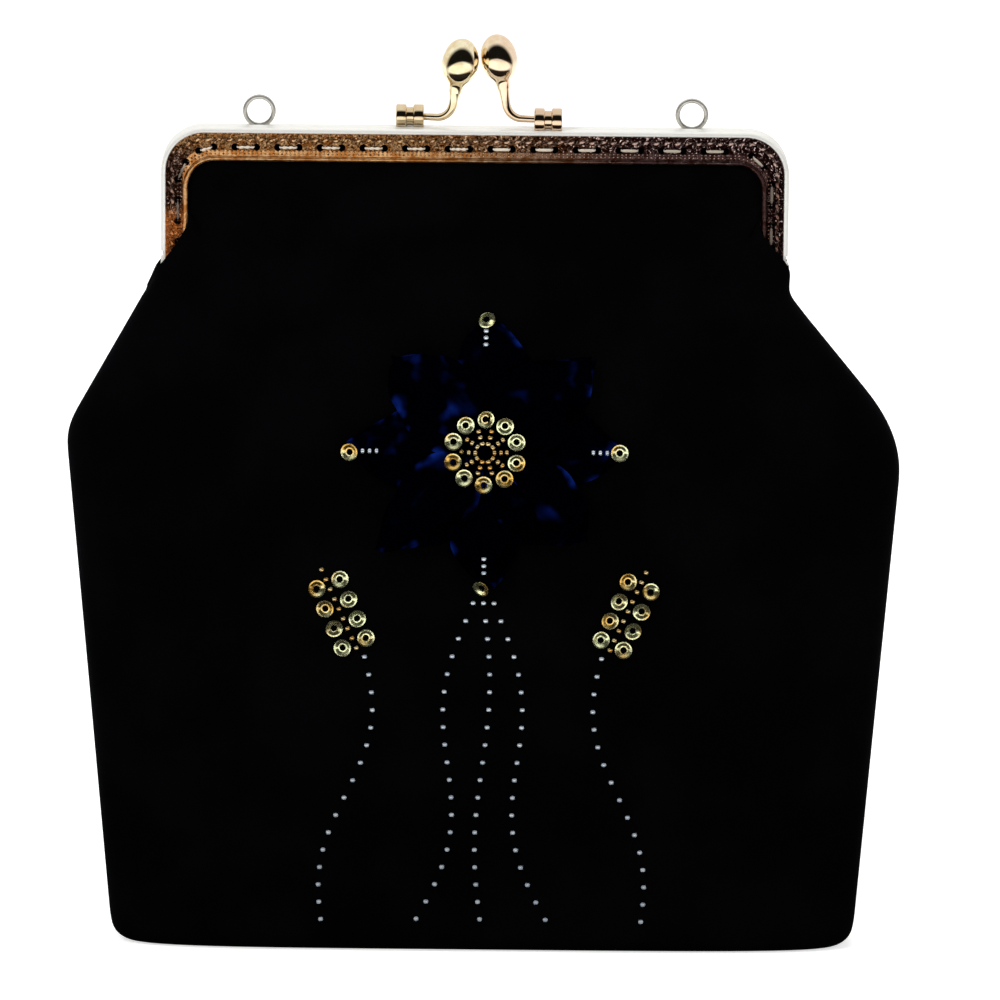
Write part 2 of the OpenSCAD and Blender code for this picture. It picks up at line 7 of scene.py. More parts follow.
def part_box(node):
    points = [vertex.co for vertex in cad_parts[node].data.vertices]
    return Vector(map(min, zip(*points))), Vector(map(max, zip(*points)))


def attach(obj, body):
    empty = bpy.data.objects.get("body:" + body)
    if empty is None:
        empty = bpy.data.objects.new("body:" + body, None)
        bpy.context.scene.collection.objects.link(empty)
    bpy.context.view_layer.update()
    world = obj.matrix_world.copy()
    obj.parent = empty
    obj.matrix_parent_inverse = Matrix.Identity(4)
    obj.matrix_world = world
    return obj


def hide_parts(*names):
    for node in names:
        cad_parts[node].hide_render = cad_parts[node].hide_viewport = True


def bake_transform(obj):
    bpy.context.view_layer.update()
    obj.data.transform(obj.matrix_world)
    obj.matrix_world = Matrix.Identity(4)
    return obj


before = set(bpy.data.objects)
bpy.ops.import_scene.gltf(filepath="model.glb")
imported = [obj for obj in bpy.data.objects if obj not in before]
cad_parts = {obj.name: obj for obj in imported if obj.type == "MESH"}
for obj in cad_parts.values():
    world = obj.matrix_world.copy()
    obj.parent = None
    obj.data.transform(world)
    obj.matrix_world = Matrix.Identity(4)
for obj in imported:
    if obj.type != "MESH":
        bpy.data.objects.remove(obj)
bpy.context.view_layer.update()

# Image points, in the photograph's frame of W by H.
W, H = 1000, 1000
POINTS = {
    "object_left": (67, 438),
    "object_right": (897.5, 468),
    "object_top": (500, 35),
    "object_bottom": (480, 949),
    "frame_left": (163, 215),
    "frame_right": (787.5, 215),
    "ring_left": (260, 108),
    "ring_right": (691, 117),
    "foot_right": (548, 119.5),
    "ball_left": (462, 64),
    "ball_right": (498, 62),
    "second_top_hole": (233.7, 146),
    "last_top_hole_but_one": (701, 153),
    "side_left": (109, 900),
    "side_right": (855, 900),
    "fold_left_outer": (163, 262),
    "fold_left_inner": (187, 225),
    "fold_right_outer": (785.5, 262),
    "fold_right_inner": (762, 233),
    "milgrain": (470, 156),
}

# The camera, settled by the image points. Millimetres and degrees.
CAMERA_DISTANCE = 2500
CAMERA_AIM = (4.44, 0, 129.49)
CAMERA_ELEVATION = 10.775
CAMERA_ROLL = 0.545
LENS = 311.65
SENSOR = 36

MM = 0.001

# The frame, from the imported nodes. Depths are measured forwards from the plane where the halves meet.
frame_low, frame_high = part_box("front_frame")
FRAME_X = (frame_low.x + frame_high.x) / 2 / MM
FRAME_HALF_W = (frame_high.x - frame_low.x) / 2 / MM
FRAME_TOP = frame_high.z / MM
FRAME_CORNER_R = 12.5
FACE_CORNER_R = 7.5
TOP_BAR_W = 9.5
LEG_W = 7.8
FACE_DEPTH = 5.15
PLATE_DEPTH = 0.9
SPINE_W = 1.35
HINGE_Z = 198
HOLE_PITCH = 6.1
HOLE_DROP = 5.5
TOP_HOLES = 12
LEG_HOLES = 4

# The bag, the same curves that its solids are lofted from.
SEAM_GAP = 0.03
BASE_HALF_W = {-1: 107.3, 1: 108.1}
SHOULDER_W = {-1: 121, 1: 120.7}
SHOULDER_Z = 149.5
SHOULDER_ROUND = {-1: 5, 1: 13}
NECK_DROP = {-1: 0, 1: 7}
NECK_ROUND = 5
BASE_HALF_DEPTH = 21
BELLY_HALF_DEPTH = 24
MOUTH_HALF_DEPTH = 20
BELLY_Z = 85
BASE_CORNER_R = 6
BASE_EDGE_R = 4.5
VELVET_T = 1.3
FLEECE_T = 1.6
FLEECE_TRIM = 1.2  # how far the fleece stays back from the plane of the seam
LINING_T = 0.6
LAYER_GAP = 0.05
JOIN_Z = 188
FLEECE_TOP_Z = 184.5

# The flower and its beads.
FLOWER_Z = 148
FLOWER_R = 40
PETAL_ROOT = 5
PETAL_W = 24
PETALS = 8
SEQUIN_R = 2.5
BEAD_R = 0.75


# ---------------------------------------------------------------- modelling by hand

def mm(x, y, z):
    return Vector((x, y, z)) * MM


def smooth(f):
    f = max(0.0, min(1.0, f))
    return f * f * (3 - 2 * f)


def mix(a, b, f):
    return a + (b - a) * f


def hermite(start, end, leave, arrive, f):
    """A place on the curve between two points, by the way it leaves the one and arrives at the other."""
    f2, f3 = f * f, f * f * f
    return (
        start * (2 * f3 - 3 * f2 + 1) + end * (3 * f2 - 2 * f3)
        + leave * (f3 - 2 * f2 + f) + arrive * (f3 - f2)
    )


def turned_to(x_axis, y_axis, z_axis):
    return Matrix((x_axis, y_axis, z_axis)).transposed().to_4x4()


def deselect():
    if bpy.context.mode != "OBJECT":
        bpy.ops.object.mode_set(mode="OBJECT")
    bpy.ops.object.select_all(action="DESELECT")


def pick(piece):
    deselect()
    piece.select_set(True)
    bpy.context.view_layer.objects.active = piece


def edit_all():
    """Edit mode, with everything selected."""
    bpy.ops.object.mode_set(mode="EDIT")
    bpy.ops.mesh.select_all(action="SELECT")


def edit_done():
    bpy.ops.object.mode_set(mode="OBJECT")


def called(piece, name):
    piece.name = piece.data.name = name
    return piece


def named(name):
    """Names the primitive that was just added."""
    return called(bpy.context.active_object, name)


def linked(piece):
    bpy.context.scene.collection.objects.link(piece)
    return piece


def twin_of(piece):
    """A copy of a piece with its own mesh."""
    twin = piece.copy()
    twin.data = piece.data.copy()
    return linked(twin)


def remove(*parts):
    for part in parts:
        bpy.data.objects.remove(part)


def walled(piece, wall_t, offset=-1, crease=0, levels=0):
    """Gives a sheet its thickness, rounds it off where levels are given and applies both."""
    wall = piece.modifiers.new("thickness", "SOLIDIFY")
    wall.thickness = wall_t * MM
    wall.offset = offset
    wall.edge_crease_outer = wall.edge_crease_inner = crease
    if levels:
        soft = piece.modifiers.new("soft", "SUBSURF")
        soft.levels = soft.render_levels = levels
    pick(piece)
    for modifier in list(piece.modifiers):
        bpy.ops.object.modifier_apply(modifier=modifier.name)
    pick(piece)
    bpy.ops.object.shade_smooth()
    return piece


def settle_place(piece):
    """Puts a piece's place, turn and size into its mesh."""
    pick(piece)
    bpy.ops.object.transform_apply(location=True, rotation=True, scale=True)
    return piece


def face_outwards(piece):
    pick(piece)
    edit_all()
    bpy.ops.mesh.remove_doubles(threshold=1e-6)
    bpy.ops.mesh.normals_make_consistent(inside=False)
    edit_done()
    return piece


def smooth_shaded(piece, degrees):
    pick(piece)
    bpy.ops.object.shade_smooth_by_angle(angle=math.radians(degrees))
    return piece


def reshaped(piece, place_of):
    """Moves each point of a piece to where place_of puts it."""
    for vertex in piece.data.vertices:
        vertex.co = place_of(vertex.co)
    piece.data.update()
    return piece


def joined(name, parts):
    deselect()
    for part in parts:
        part.select_set(True)
    bpy.context.view_layer.objects.active = parts[0]
    bpy.ops.object.join()
    return named(name)


def copies(name, pattern, places):
    """Copies a pattern to each place, every copy with its own mesh, and joins them as one piece."""
    made = []
    for place in places:
        twin = twin_of(pattern)
        twin.data.transform(place)
        made.append(twin)
    return joined(name, made)


def draw_out(centre, axis, rings):
    """Draws an edge out along an axis and resizes it ring by ring, by (distance along the axis, radius)."""
    for (at, radius), (to, next_radius) in zip(rings, rings[1:]):
        bpy.ops.mesh.extrude_region_move(TRANSFORM_OT_translate={"value": axis * (to - at) * MM})
        share = next_radius / radius
        bpy.ops.transform.resize(value=(share, share, share), center_override=(centre + axis * to) * MM)


def turned(name, centre, axis, rings, segments):
    """A piece turned on a lathe: a disc that is drawn out along an axis, in millimetres."""
    axis = Vector(axis).normalized()
    centre = Vector(centre)
    turn = Vector((0, 0, 1)).rotation_difference(axis).to_euler()
    deselect()
    bpy.ops.mesh.primitive_circle_add(
        vertices=segments, radius=rings[0][1] * MM, fill_type="NGON",
        location=(centre + axis * rings[0][0]) * MM, rotation=turn,
    )
    piece = settle_place(named(name))
    edit_all()
    draw_out(centre, axis, rings)
    edit_done()
    return smooth_shaded(face_outwards(piece), 35)


def drawn_wire(name, points, radii, tilts=None, profile=None, sides=3):
    """A wire along points, in millimetres, with a radius at each; a profile gives its section another shape."""
    deselect()
    bpy.ops.curve.primitive_nurbs_path_add(location=(0, 0, 0))
    wire = named(name)
    curve = wire.data
    curve.splines.clear()
    line = curve.splines.new("POLY")
    line.points.add(len(points) - 1)
    for i, point in enumerate(points):
        line.points[i].co = (*(Vector(point) * MM), 1)
        line.points[i].radius = radii[i]
        line.points[i].tilt = tilts[i] if tilts else 0
    curve.dimensions = "3D"
    curve.use_fill_caps = True
    if profile:
        curve.bevel_mode = "OBJECT"
        curve.bevel_object = profile
    else:
        curve.bevel_depth = MM
        curve.bevel_resolution = sides
    pick(wire)
    bpy.ops.object.convert(target="MESH")
    return smooth_shaded(face_outwards(named(name)), 50)


# ---------------------------------------------------------------- the camera and the image points

def camera_axes():
    """The camera's place and its right, up and backward axes."""
    rise, roll = math.radians(CAMERA_ELEVATION), math.radians(CAMERA_ROLL)
    forward = Vector((0, math.cos(rise), -math.sin(rise)))
    right = Vector((1, 0, 0))
    up = right.cross(forward)
    place = (Vector(CAMERA_AIM) - forward * CAMERA_DISTANCE) * MM
    rolled_right = right * math.cos(roll) + up * math.sin(roll)
    rolled_up = up * math.cos(roll) - right * math.sin(roll)
    return place, rolled_right, rolled_up, -forward


VIEWPOINT, VIEW_RIGHT, VIEW_UP, VIEW_BACK = camera_axes()
FOCAL_PIXELS = max(W, H) * LENS / SENSOR


def add_camera():
    lens = bpy.data.cameras.new("camera")
    lens.sensor_width = SENSOR
    lens.lens = LENS
    lens.clip_end = 100
    camera = linked(bpy.data.objects.new("camera", lens))
    camera.matrix_world = Matrix.Translation(VIEWPOINT) @ turned_to(VIEW_RIGHT, VIEW_UP, VIEW_BACK)
    bpy.context.scene.camera = camera


def in_picture(point):
    """Where a place in the scene shows in the picture."""
    away = Vector(point) - VIEWPOINT
    scale = FOCAL_PIXELS / -away.dot(VIEW_BACK)
    return W / 2 + away.dot(VIEW_RIGHT) * scale, H / 2 - away.dot(VIEW_UP) * scale


def tree_of(*pieces):
    """The finished surface of some pieces, to be hit by rays."""
    vertices, polygons = [], []
    for piece in pieces:
        start = len(vertices)
        vertices += [piece.matrix_world @ v.co for v in piece.data.vertices]
        polygons += [[start + i for i in p.vertices] for p in piece.data.polygons]
    return BVHTree.FromPolygons(vertices, polygons)


def seen_place(name, tree):
    """The place on a surface in view that an image point shows."""
    x, y = POINTS[name]
    ray = (VIEW_RIGHT * (x - W / 2) + VIEW_UP * (H / 2 - y) - VIEW_BACK * FOCAL_PIXELS).normalized()
    hit = tree.ray_cast(VIEWPOINT, ray)[0]
    if hit is None:
        nearest = tree.find_nearest(VIEWPOINT + ray * CAMERA_DISTANCE * MM)[0]
        hit = tree.find_nearest(VIEWPOINT + ray * (nearest - VIEWPOINT).dot(ray))[0]
    return hit


# ---------------------------------------------------------------- finishes

def worked(operation, swapped=False):
    """A method that adds one Math node."""
    def method(self, *others):
        values = (*others, self) if swapped else (self, *others)
        return self.node("ShaderNodeMath", {"operation": operation}, dict(enumerate(values)))
    return method


class Value:
    """A number, a place or a colour that changes over a surface. Work on it adds nodes to its finish."""

    def __init__(self, finish, socket):
        self.node = finish.node
        self.socket = socket

    __add__ = __radd__ = worked("ADD")
    __mul__ = __rmul__ = worked("MULTIPLY")
    __sub__, __rsub__ = worked("SUBTRACT"), worked("SUBTRACT", swapped=True)
    __truediv__, __rtruediv__ = worked("DIVIDE"), worked("DIVIDE", swapped=True)
    __pow__ = worked("POWER")
    higher, lower = worked("MAXIMUM"), worked("MINIMUM")
    size, sine = worked("ABSOLUTE"), worked("SINE")

    def step(self, low, high):
        """0 up to low, 1 from high on, smooth between."""
        return self.node(
            "ShaderNodeMapRange", {"interpolation_type": "SMOOTHSTEP"},
            {"Value": self, "From Min": low, "From Max": high},
        )

    def axes(self):
        return [self.node("ShaderNodeSeparateXYZ", sockets={0: self}, output=i) for i in range(3)]

    def stretched(self, x, y, z):
        return self.node("ShaderNodeVectorMath", {"operation": "MULTIPLY"}, {0: self, 1: (x, y, z)})

    def mottle(self, scale, detail, rough=0.5):
        sockets = {"Vector": self, "Scale": scale, "Detail": detail, "Roughness": rough}
        return self.node("ShaderNodeTexNoise", sockets=sockets)

    def blend(self, first, second):
        """A colour between two, by a share from 0 to 1."""
        return self.node("ShaderNodeMix", {"data_type": "RGBA"}, {0: self, 6: first, 7: second}, output=2)

    def relief(self, distance, strength):
        return self.node("ShaderNodeBump", sockets={"Height": self, "Distance": distance, "Strength": strength})


class Finish:
    """One procedural material. Sockets that are the same all over are set when it is made."""

    def __init__(self, name, **fixed):
        self.material = bpy.data.materials.new(name)
        self.material.use_nodes = True
        self.tree = self.material.node_tree
        self.tree.nodes.clear()
        self.shader = self.tree.nodes.new("ShaderNodeBsdfPrincipled")
        self.surface = self.tree.nodes.new("ShaderNodeOutputMaterial").inputs["Surface"]
        self.tree.links.new(self.shader.outputs[0], self.surface)
        self.show(**fixed)

    def node(self, kind, settings=None, sockets=None, output=0):
        made = self.tree.nodes.new(kind)
        for name, value in (settings or {}).items():
            setattr(made, name, value)
        for name, value in (sockets or {}).items():
            self.feed(made.inputs[name], value)
        return Value(self, made.outputs[output])

    def feed(self, socket, value):
        if isinstance(value, Value):
            self.tree.links.new(value.socket, socket)
        else:
            socket.default_value = (*value, 1) if socket.type == "RGBA" else value

    def show(self, **values):
        """Feeds the surface's sockets and gives the material."""
        for name, value in values.items():
            self.feed(self.shader.inputs[name.replace("_", " ")], value)
        return self.material

    def place(self):
        """Object coordinates in millimetres."""
        metres = self.node("ShaderNodeTexCoord", output="Object")
        return self.node("ShaderNodeVectorMath", {"operation": "SCALE"}, {0: metres, "Scale": 1 / MM})

    def ray(self, kind):
        return self.node("ShaderNodeLightPath", output=f"Is {kind} Ray")


class Sky(Finish):
    """The world's light, written in the same way."""

    def __init__(self, world):
        self.tree = world.node_tree
        self.tree.nodes.clear()
        self.surface = self.tree.nodes.new("ShaderNodeOutputWorld").inputs["Surface"]

    def number(self, share, first, second):
        return self.node("ShaderNodeMix", {"data_type": "FLOAT"}, {0: share, 2: first, 3: second})


def arch_inset(x, z):
    """How far a place on the metal frame lies in from the frame's outer edge, in millimetres."""
    across = ((x - FRAME_X).size() - (FRAME_HALF_W - FRAME_CORNER_R)).higher(0)
    above = (z - (FRAME_TOP - FRAME_CORNER_R)).higher(0)
    return FRAME_CORNER_R - (across * across + above * above) ** 0.5


def shade_and_tarnish_masks(x, z, lip=0.0):
    """How far the gold is darker: towards the right it is painted shade, at the top of the left leg it is
    tarnished; how far a place is on the darker right leg and the top of the left leg; and how far on the
    glowing part of the left leg. The lip stays clean on the left."""
    # Painted shade: the gold is painted darker towards the right.
    right = (x - FRAME_X).step(-30, 52)
    left_leg = (x - FRAME_X).step(-74, -84) * z.step(FRAME_TOP - 3, FRAME_TOP - 10) * (1 - lip)
    dark_left = left_leg * z.step(FRAME_TOP - 27, FRAME_TOP - 21)
    leg = z.step(FRAME_TOP - 9, FRAME_TOP - 16) * (x - FRAME_X).step(60, 70)
    return right.higher(dark_left * 0.8), leg.higher(dark_left * 0.7), left_leg - dark_left


def antique_frame_finish():
    """Antiqued copper gold stamped with scrolls on the face, painted darker towards the right as painted shade;
    pale gold round the spine, painted near white for its polish and a painted highlight.
    """
    finish = Finish("antique_frame", IOR=1.45)
    place = finish.place()
    x, y, z = place.axes()
    inset = arch_inset(x, z)
    face = inset.step(SPINE_W - 0.15, SPINE_W + 0.25)
    front = y.size().step(FACE_DEPTH - 0.3, FACE_DEPTH - 0.05)
    lip = inset.step(LEG_W - 1.7, LEG_W - 1.3)
    shade_and_tarnish, leg, ember = shade_and_tarnish_masks(x, z, lip)
    grain = place.mottle(1.15, 3, 0.7)
    wear = place.mottle(0.4, 3, 0.6)
    scroll = (place.mottle(0.26, 1, 0.4) * 58).sine().step(-0.15, 0.45)
    stamped = face * (1 - lip * 0.85) * (1 - ember * 0.4)
    copper = wear.step(0.38, 0.62).blend((0.52, 0.185, 0.038), (0.82, 0.47, 0.21))
    # Painted shade: towards the right the gold turns to these darker colours; at the top of the left leg they
    # stand for tarnish.
    shade_and_tarnish_colour = wear.step(0.42, 0.6).blend((0.048, 0.013, 0.011), (0.22, 0.12, 0.115))
    gold = (ember * 0.85).blend(shade_and_tarnish.blend(copper, shade_and_tarnish_colour), (0.60, 0.145, 0.022))
    # Painted shade: the lip's ground goes dark on the right, as does the ground on the darker right leg and the
    # top of the left leg.
    ground = (shade_and_tarnish * lip * 0.7).higher(leg * 0.65).blend(gold, (0.022, 0.009, 0.006))
    pits = (1 - grain.step(0.43, 0.51)) * (0.64 + 0.31 * shade_and_tarnish) + (1 - scroll) * (0.32 + 0.48 * shade_and_tarnish)
    # Patina in the pits, painted darker still on the right as painted shade.
    hollow = shade_and_tarnish.blend((0.036, 0.008, 0.001), (0.008, 0.002, 0.0015))
    pitted = (pits.lower(1) * stamped).blend(ground, hollow)
    crest = grain.step(0.54, 0.62) * scroll * stamped * (0.65 + 0.35 * shade_and_tarnish) * (1 - 0.5 * leg)
    rubbed = shade_and_tarnish.blend((0.95, 0.60, 0.32), (0.92, 0.72, 0.66))
    # The spine: its polish and a painted highlight in one near-white colour, barely metallic.
    polish_and_highlight = (wear.step(0.5, 0.8) * 0.4).blend((0.90, 0.89, 0.84), (0.84, 0.80, 0.68))
    height = (scroll * 0.6 + grain.step(0.35, 0.65) * 0.55) * stamped * front + wear * 0.03
    return finish.show(
        Base_Color=face.blend(polish_and_highlight, crest.blend(pitted, rubbed)),
        Metallic=0.35 + 0.65 * face,
        Roughness=0.42 + face * (0.2 * wear - 0.14),
        Normal=height.relief(0.00032, 1.0),
    )


def relief_finish():
    """The raised ornament: rubbed bright on its crests, dark where it meets the ground."""
    finish = Finish("antique_relief", IOR=1.45)
    place = finish.place()
    x, y, z = place.axes()
    wear = place.mottle(1.6, 4, 0.65)
    crest = y.size().step(FACE_DEPTH + 0.06, FACE_DEPTH + 0.26) * wear.step(0.36, 0.52)
    shade_and_tarnish, leg, ember = shade_and_tarnish_masks(x, z)
    bright = wear.step(0.4, 0.6).blend((0.68, 0.33, 0.12), (0.90, 0.58, 0.31))
    # The crests and the ground turn darker on the right as painted shade, and at the top of the left leg, where
    # the gold is tarnished.
    rubbed = (shade_and_tarnish * 0.85).blend(bright, (0.70, 0.48, 0.44))
    # Darker still on the right leg and at the top of the left leg.
    leg_and_right_darkening = (leg * 0.75).blend(rubbed, (0.15, 0.05, 0.025))
    glowing = (ember * 0.8).blend(leg_and_right_darkening, (0.60, 0.16, 0.03))
    ground = shade_and_tarnish.blend((0.10, 0.04, 0.015), (0.018, 0.010, 0.008))
    return finish.show(
        Base_Color=crest.blend(ground, glowing),
        Metallic=1.0,
        Roughness=0.2 + 0.22 * wear,
        Normal=place.mottle(5, 2, 0.55).relief(0.00005, 0.6),
    )


def plated_finish(name, bright, deep, roughness, painted_shade_tint=None):
    """Polished plating, a little deeper in tone where it is less rubbed. Given a shade tint, it is painted to
    that colour on the right, a painted shade with a reddish painted reflection, and painted darker below the
    clasp balls, a painted shade."""
    finish = Finish(name, IOR=1.45)
    place = finish.place()
    fine = place.stretched(1, 1, 6).mottle(2.5, 3, 0.6)
    colour = place.mottle(0.35, 3).step(0.35, 0.65).blend(bright, deep)
    if painted_shade_tint:
        x, _, z = place.axes()
        # Painted shade and reflection: the right of the clasp turns reddish and darker, and its feet and the
        # roots of its arms are painted darker.
        colour = ((x - FRAME_X).step(-8, 14) * 0.8).blend(colour, painted_shade_tint)
        colour = (z.step(FRAME_TOP + 9, FRAME_TOP + 5) * 0.55).blend(colour, (0.60, 0.42, 0.25))
    return finish.show(
        Base_Color=colour, Metallic=1.0, Roughness=roughness + 0.04 * fine, Normal=fine.relief(0.00001, 0.25)
    )


def velvet_finish():
    """Black cotton velvet: a short dense pile that lies a little this way and that."""
    finish = Finish(
        "black_velvet", Sheen_Weight=0.015, Sheen_Roughness=0.3, Sheen_Tint=(0.4, 0.45, 0.6),
        Specular_IOR_Level=0.012,
    )
    place = finish.place()
    tufts = place.mottle(1.6, 3, 0.65)
    pile = finish.node("ShaderNodeTexVoronoi", sockets={"Vector": place, "Scale": 3.2})
    shade = place.mottle(0.035, 3).step(0.35, 0.68) * 0.5 + tufts * 0.5
    return finish.show(
        Base_Color=shade.blend((0.0003, 0.0003, 0.0004), (0.0016, 0.0016, 0.0021)),
        Roughness=0.86 + 0.12 * tufts,
        Normal=(tufts * 0.7 + (1 - pile) * 0.5).relief(0.00035, 0.6),
    )


def satin_finish():
    """Navy satin, nearly black, with a cobalt sheen painted on its turned edges and along its folds."""
    finish = Finish("navy_satin", Specular_IOR_Level=0.009, Specular_Tint=(0.05, 0.12, 1.0), Anisotropic=0.4)
    across_along = finish.node("ShaderNodeTexCoord", output="UV")
    u, v, _ = across_along.axes()
    place = finish.place()
    threads = across_along.stretched(260, 18, 1).mottle(1.0, 2)
    rim = ((u - 0.5).size() * 2).step(0.70, 1.0)
    tip = v.step(0.78, 1.0)
    streak = across_along.stretched(5, 1.2, 1).mottle(1.0, 1).step(0.56, 0.74)
    patch = place.mottle(0.06, 1).step(0.54, 0.74)
    cloud = place.mottle(0.11, 2).step(0.55, 0.76)
    # Painted sheen: the cobalt glow on the rims, the tips, in streaks and patches, stands for the light the
    # satin catches.
    glow = (rim * 0.8 + tip * 0.6 + streak * 0.35 + patch * 0.5).lower(1) * cloud
    deep = threads.blend((0.00004, 0.00004, 0.00015), (0.0001, 0.00013, 0.0005))
    return finish.show(
        Base_Color=glow.blend(deep, (0.0045, 0.021, 0.21)),
        Roughness=0.3 + 0.16 * threads,
        Normal=threads.relief(0.00006, 0.5),
    )


def cotton_finish(name, low, high, scale):
    """A plain woven cloth: two crossing sets of threads."""
    finish = Finish(name, Sheen_Weight=0.1, Sheen_Roughness=0.5)
    place = finish.place()
    x, _, z = place.axes()
    turn = 2 * math.pi * scale
    weave = (x * turn).sine() * (z * turn).sine() * 0.5 + 0.5
    slubs = place.stretched(1, 1, 0.2).mottle(1.4, 3, 0.6)
    return finish.show(
        Base_Color=(weave * 0.6 + slubs * 0.4).blend(low, high),
        Roughness=0.7 + 0.2 * slubs,
        Normal=weave.relief(0.0001, 0.5),
    )


def thread_finish():
    """Cream thread, painted darker to the right as painted shade, and darker down the legs."""
    finish = Finish("cream_thread", Sheen_Weight=0.1, Sheen_Roughness=0.4)
    place = finish.place()
    x, _, z = place.axes()
    fibres = place.stretched(1, 3, 3).mottle(3.5, 3, 0.6)
    clean = fibres.blend((0.62, 0.50, 0.36), (0.95, 0.87, 0.74))
    # Painted shade to the right; down the legs the thread is darker as well.
    leg_and_right_darkening = (z.step(FRAME_TOP - 8, FRAME_TOP - 13) * 0.92).higher((x - FRAME_X).step(0, 60) * 0.5)
    return finish.show(
        Base_Color=leg_and_right_darkening.blend(clean, (0.10, 0.07, 0.055)),
        Roughness=0.55 + 0.25 * fibres,
        Normal=fibres.relief(0.00005, 0.6),
    )


def sequin_finish():
    """Gold foil whose tint changes from one sequin to the next, from pale lime gold to amber."""
    finish = Finish("sequin_foil", Coat_Roughness=0.05)
    place = finish.place()
    tint = place.mottle(0.11, 1)
    fine = place.mottle(2.6, 2)
    colour = tint.step(0.44, 0.64).blend((0.92, 0.98, 0.58), (0.80, 0.48, 0.11))
    return finish.show(
        Base_Color=(fine.step(0.46, 0.62) * 0.58).blend(colour, (0.30, 0.22, 0.05)),
        Metallic=0.95,
        Roughness=0.12 + 0.14 * fine,
        Coat_Weight=0.3 * tint,
        Normal=fine.relief(0.00006, 0.7),
    )


def bead_finish(name, clear, deep, metallic):
    """Silver-lined glass seed beads."""
    finish = Finish(name, Coat_Roughness=0.04, IOR=1.5)
    place = finish.place()
    batch = place.mottle(0.4, 2)
    return finish.show(
        Base_Color=batch.step(0.35, 0.65).blend(clear, deep),
        Metallic=metallic,
        Roughness=0.12 + 0.1 * place.mottle(4.0, 2),
        Coat_Weight=0.4 * batch,
    )


# How much white is added to the floor where it is seen or mirrored, so that it reads white clear of the shadow.
FLOOR_GLOW = 0.62

# The height on the clasp from which the mirrored room is reckoned, and how dark its dark parts are.
MIRROR_Z = 255
ROOM_GREY = 0.008


def room_dark(x, y, z):
    """How dark the studio is in a direction: its front and what lies below, but for the lit table ahead."""
    ahead = (y * -0.87 - z * 0.5).step(-0.2, 0.2)
    below = z.step(-0.62, -0.76)
    table = ((x * 1.05) ** 2 + ((z + 0.32) * 2.75) ** 2).step(1.25, 0.8)
    return ahead.higher(below) * (1 - table)


def floor_finish():
    """White paper: it keeps the object's shadow and reads as white where no shadow falls. Seen in a mirror,
    near the object and towards the dark part of the studio, it is painted nearly black, a painted reflection.
    """
    finish = Finish("white_paper", Roughness=0.9, Specular_IOR_Level=0.1)
    place = finish.place()
    seen, glossy, passed = (finish.ray(kind) for kind in ("Camera", "Glossy", "Transmission"))
    x, y, _ = place.axes()
    run = x * x + y * y
    reach = (run + MIRROR_Z ** 2) ** 0.5
    far = (run ** 0.5).step(150, 230) * (1 - room_dark(x / reach, y / reach, -MIRROR_Z / reach))
    glow = (seen + glossy * far + passed) * FLOOR_GLOW
    white = finish.node("ShaderNodeEmission", sockets={"Color": (1, 1, 1), "Strength": glow})
    paper_white = place.mottle(0.4, 2).blend((0.80, 0.80, 0.80), (0.83, 0.83, 0.83))
    # Painted reflection: for mirrored rays the paper near the object is painted nearly black.
    finish.show(Base_Color=(glossy * (1 - far)).blend(paper_white, (0.022, 0.017, 0.015)))
    both = finish.node("ShaderNodeAddShader", sockets={0: Value(finish, finish.shader.outputs[0]), 1: white})
    finish.feed(finish.surface, both)
    return finish.material


FRAME_FINISH = antique_frame_finish()
RELIEF_FINISH = relief_finish()
# The last colour is the reddish, darker painted shade and reflection on the right of the clasp.
CLASP_FINISH = plated_finish("clasp_gold", (0.92, 0.84, 0.58), (0.78, 0.62, 0.36), 0.05, (0.84, 0.62, 0.46))
RING_FINISH = plated_finish("ring_pale", (0.68, 0.66, 0.60), (0.52, 0.50, 0.45), 0.42)
VELVET_FINISH = velvet_finish()
SATIN_FINISH = satin_finish()
LINING_FINISH = cotton_finish("black_lining", (0.010, 0.010, 0.013), (0.035, 0.035, 0.042), 1.3)
FLEECE_FINISH = cotton_finish("white_fleece", (0.62, 0.62, 0.60), (0.82, 0.82, 0.79), 0.6)
THREAD_FINISH = thread_finish()
SEQUIN_FINISH = sequin_finish()
GOLD_BEADS = bead_finish("gold_beads", (0.92, 0.76, 0.40), (0.80, 0.44, 0.10), 0.8)
SILVER_BEADS = bead_finish("silver_beads", (0.80, 0.88, 0.95), (0.62, 0.72, 0.85), 0.55)


def coat(piece, material):
    """Gives a new piece its finish."""
    piece.data.materials.clear()
    piece.data.materials.append(material)
    return piece


def coat_node(name, material):
    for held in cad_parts[name].material_slots:
        held.material = material


# ---------------------------------------------------------------- the cloth

def straight_w(z, side):
    """Half width of the bag at a height before its bends are rounded: it grows from the base to the shoulder,
    narrows to the neck and goes straight up from there."""
    if z < SHOULDER_Z:
        return mix(BASE_HALF_W[side], SHOULDER_W[side], z / SHOULDER_Z)
    neck = HINGE_Z - NECK_DROP[side]
    return mix(SHOULDER_W[side], FRAME_HALF_W + side * FRAME_X, min(1, (z - SHOULDER_Z) / (neck - SHOULDER_Z)))


def side_w(z, side):
    """Half width of the bag at a height, on the left (-1) or the right (1), with its bends rounded."""
    bends = [(SHOULDER_Z, SHOULDER_ROUND[side])]
    if NECK_DROP[side]:
        bends.append((HINGE_Z - NECK_DROP[side], NECK_ROUND))
    for at, reach in bends:
        if abs(z - at) < reach:
            f = (z - at + reach) / (2 * reach)
            low, middle, high = (straight_w(at + step, side) for step in (-reach, 0, reach))
            return mix(mix(low, middle, f), mix(middle, high, f), f)
    return straight_w(z, side)


def corner_cut(z, inset):
    radius, up = BASE_CORNER_R - inset, BASE_CORNER_R - z
    return inset if up < 0 else BASE_CORNER_R - math.sqrt(max(0, radius * radius - up * up))


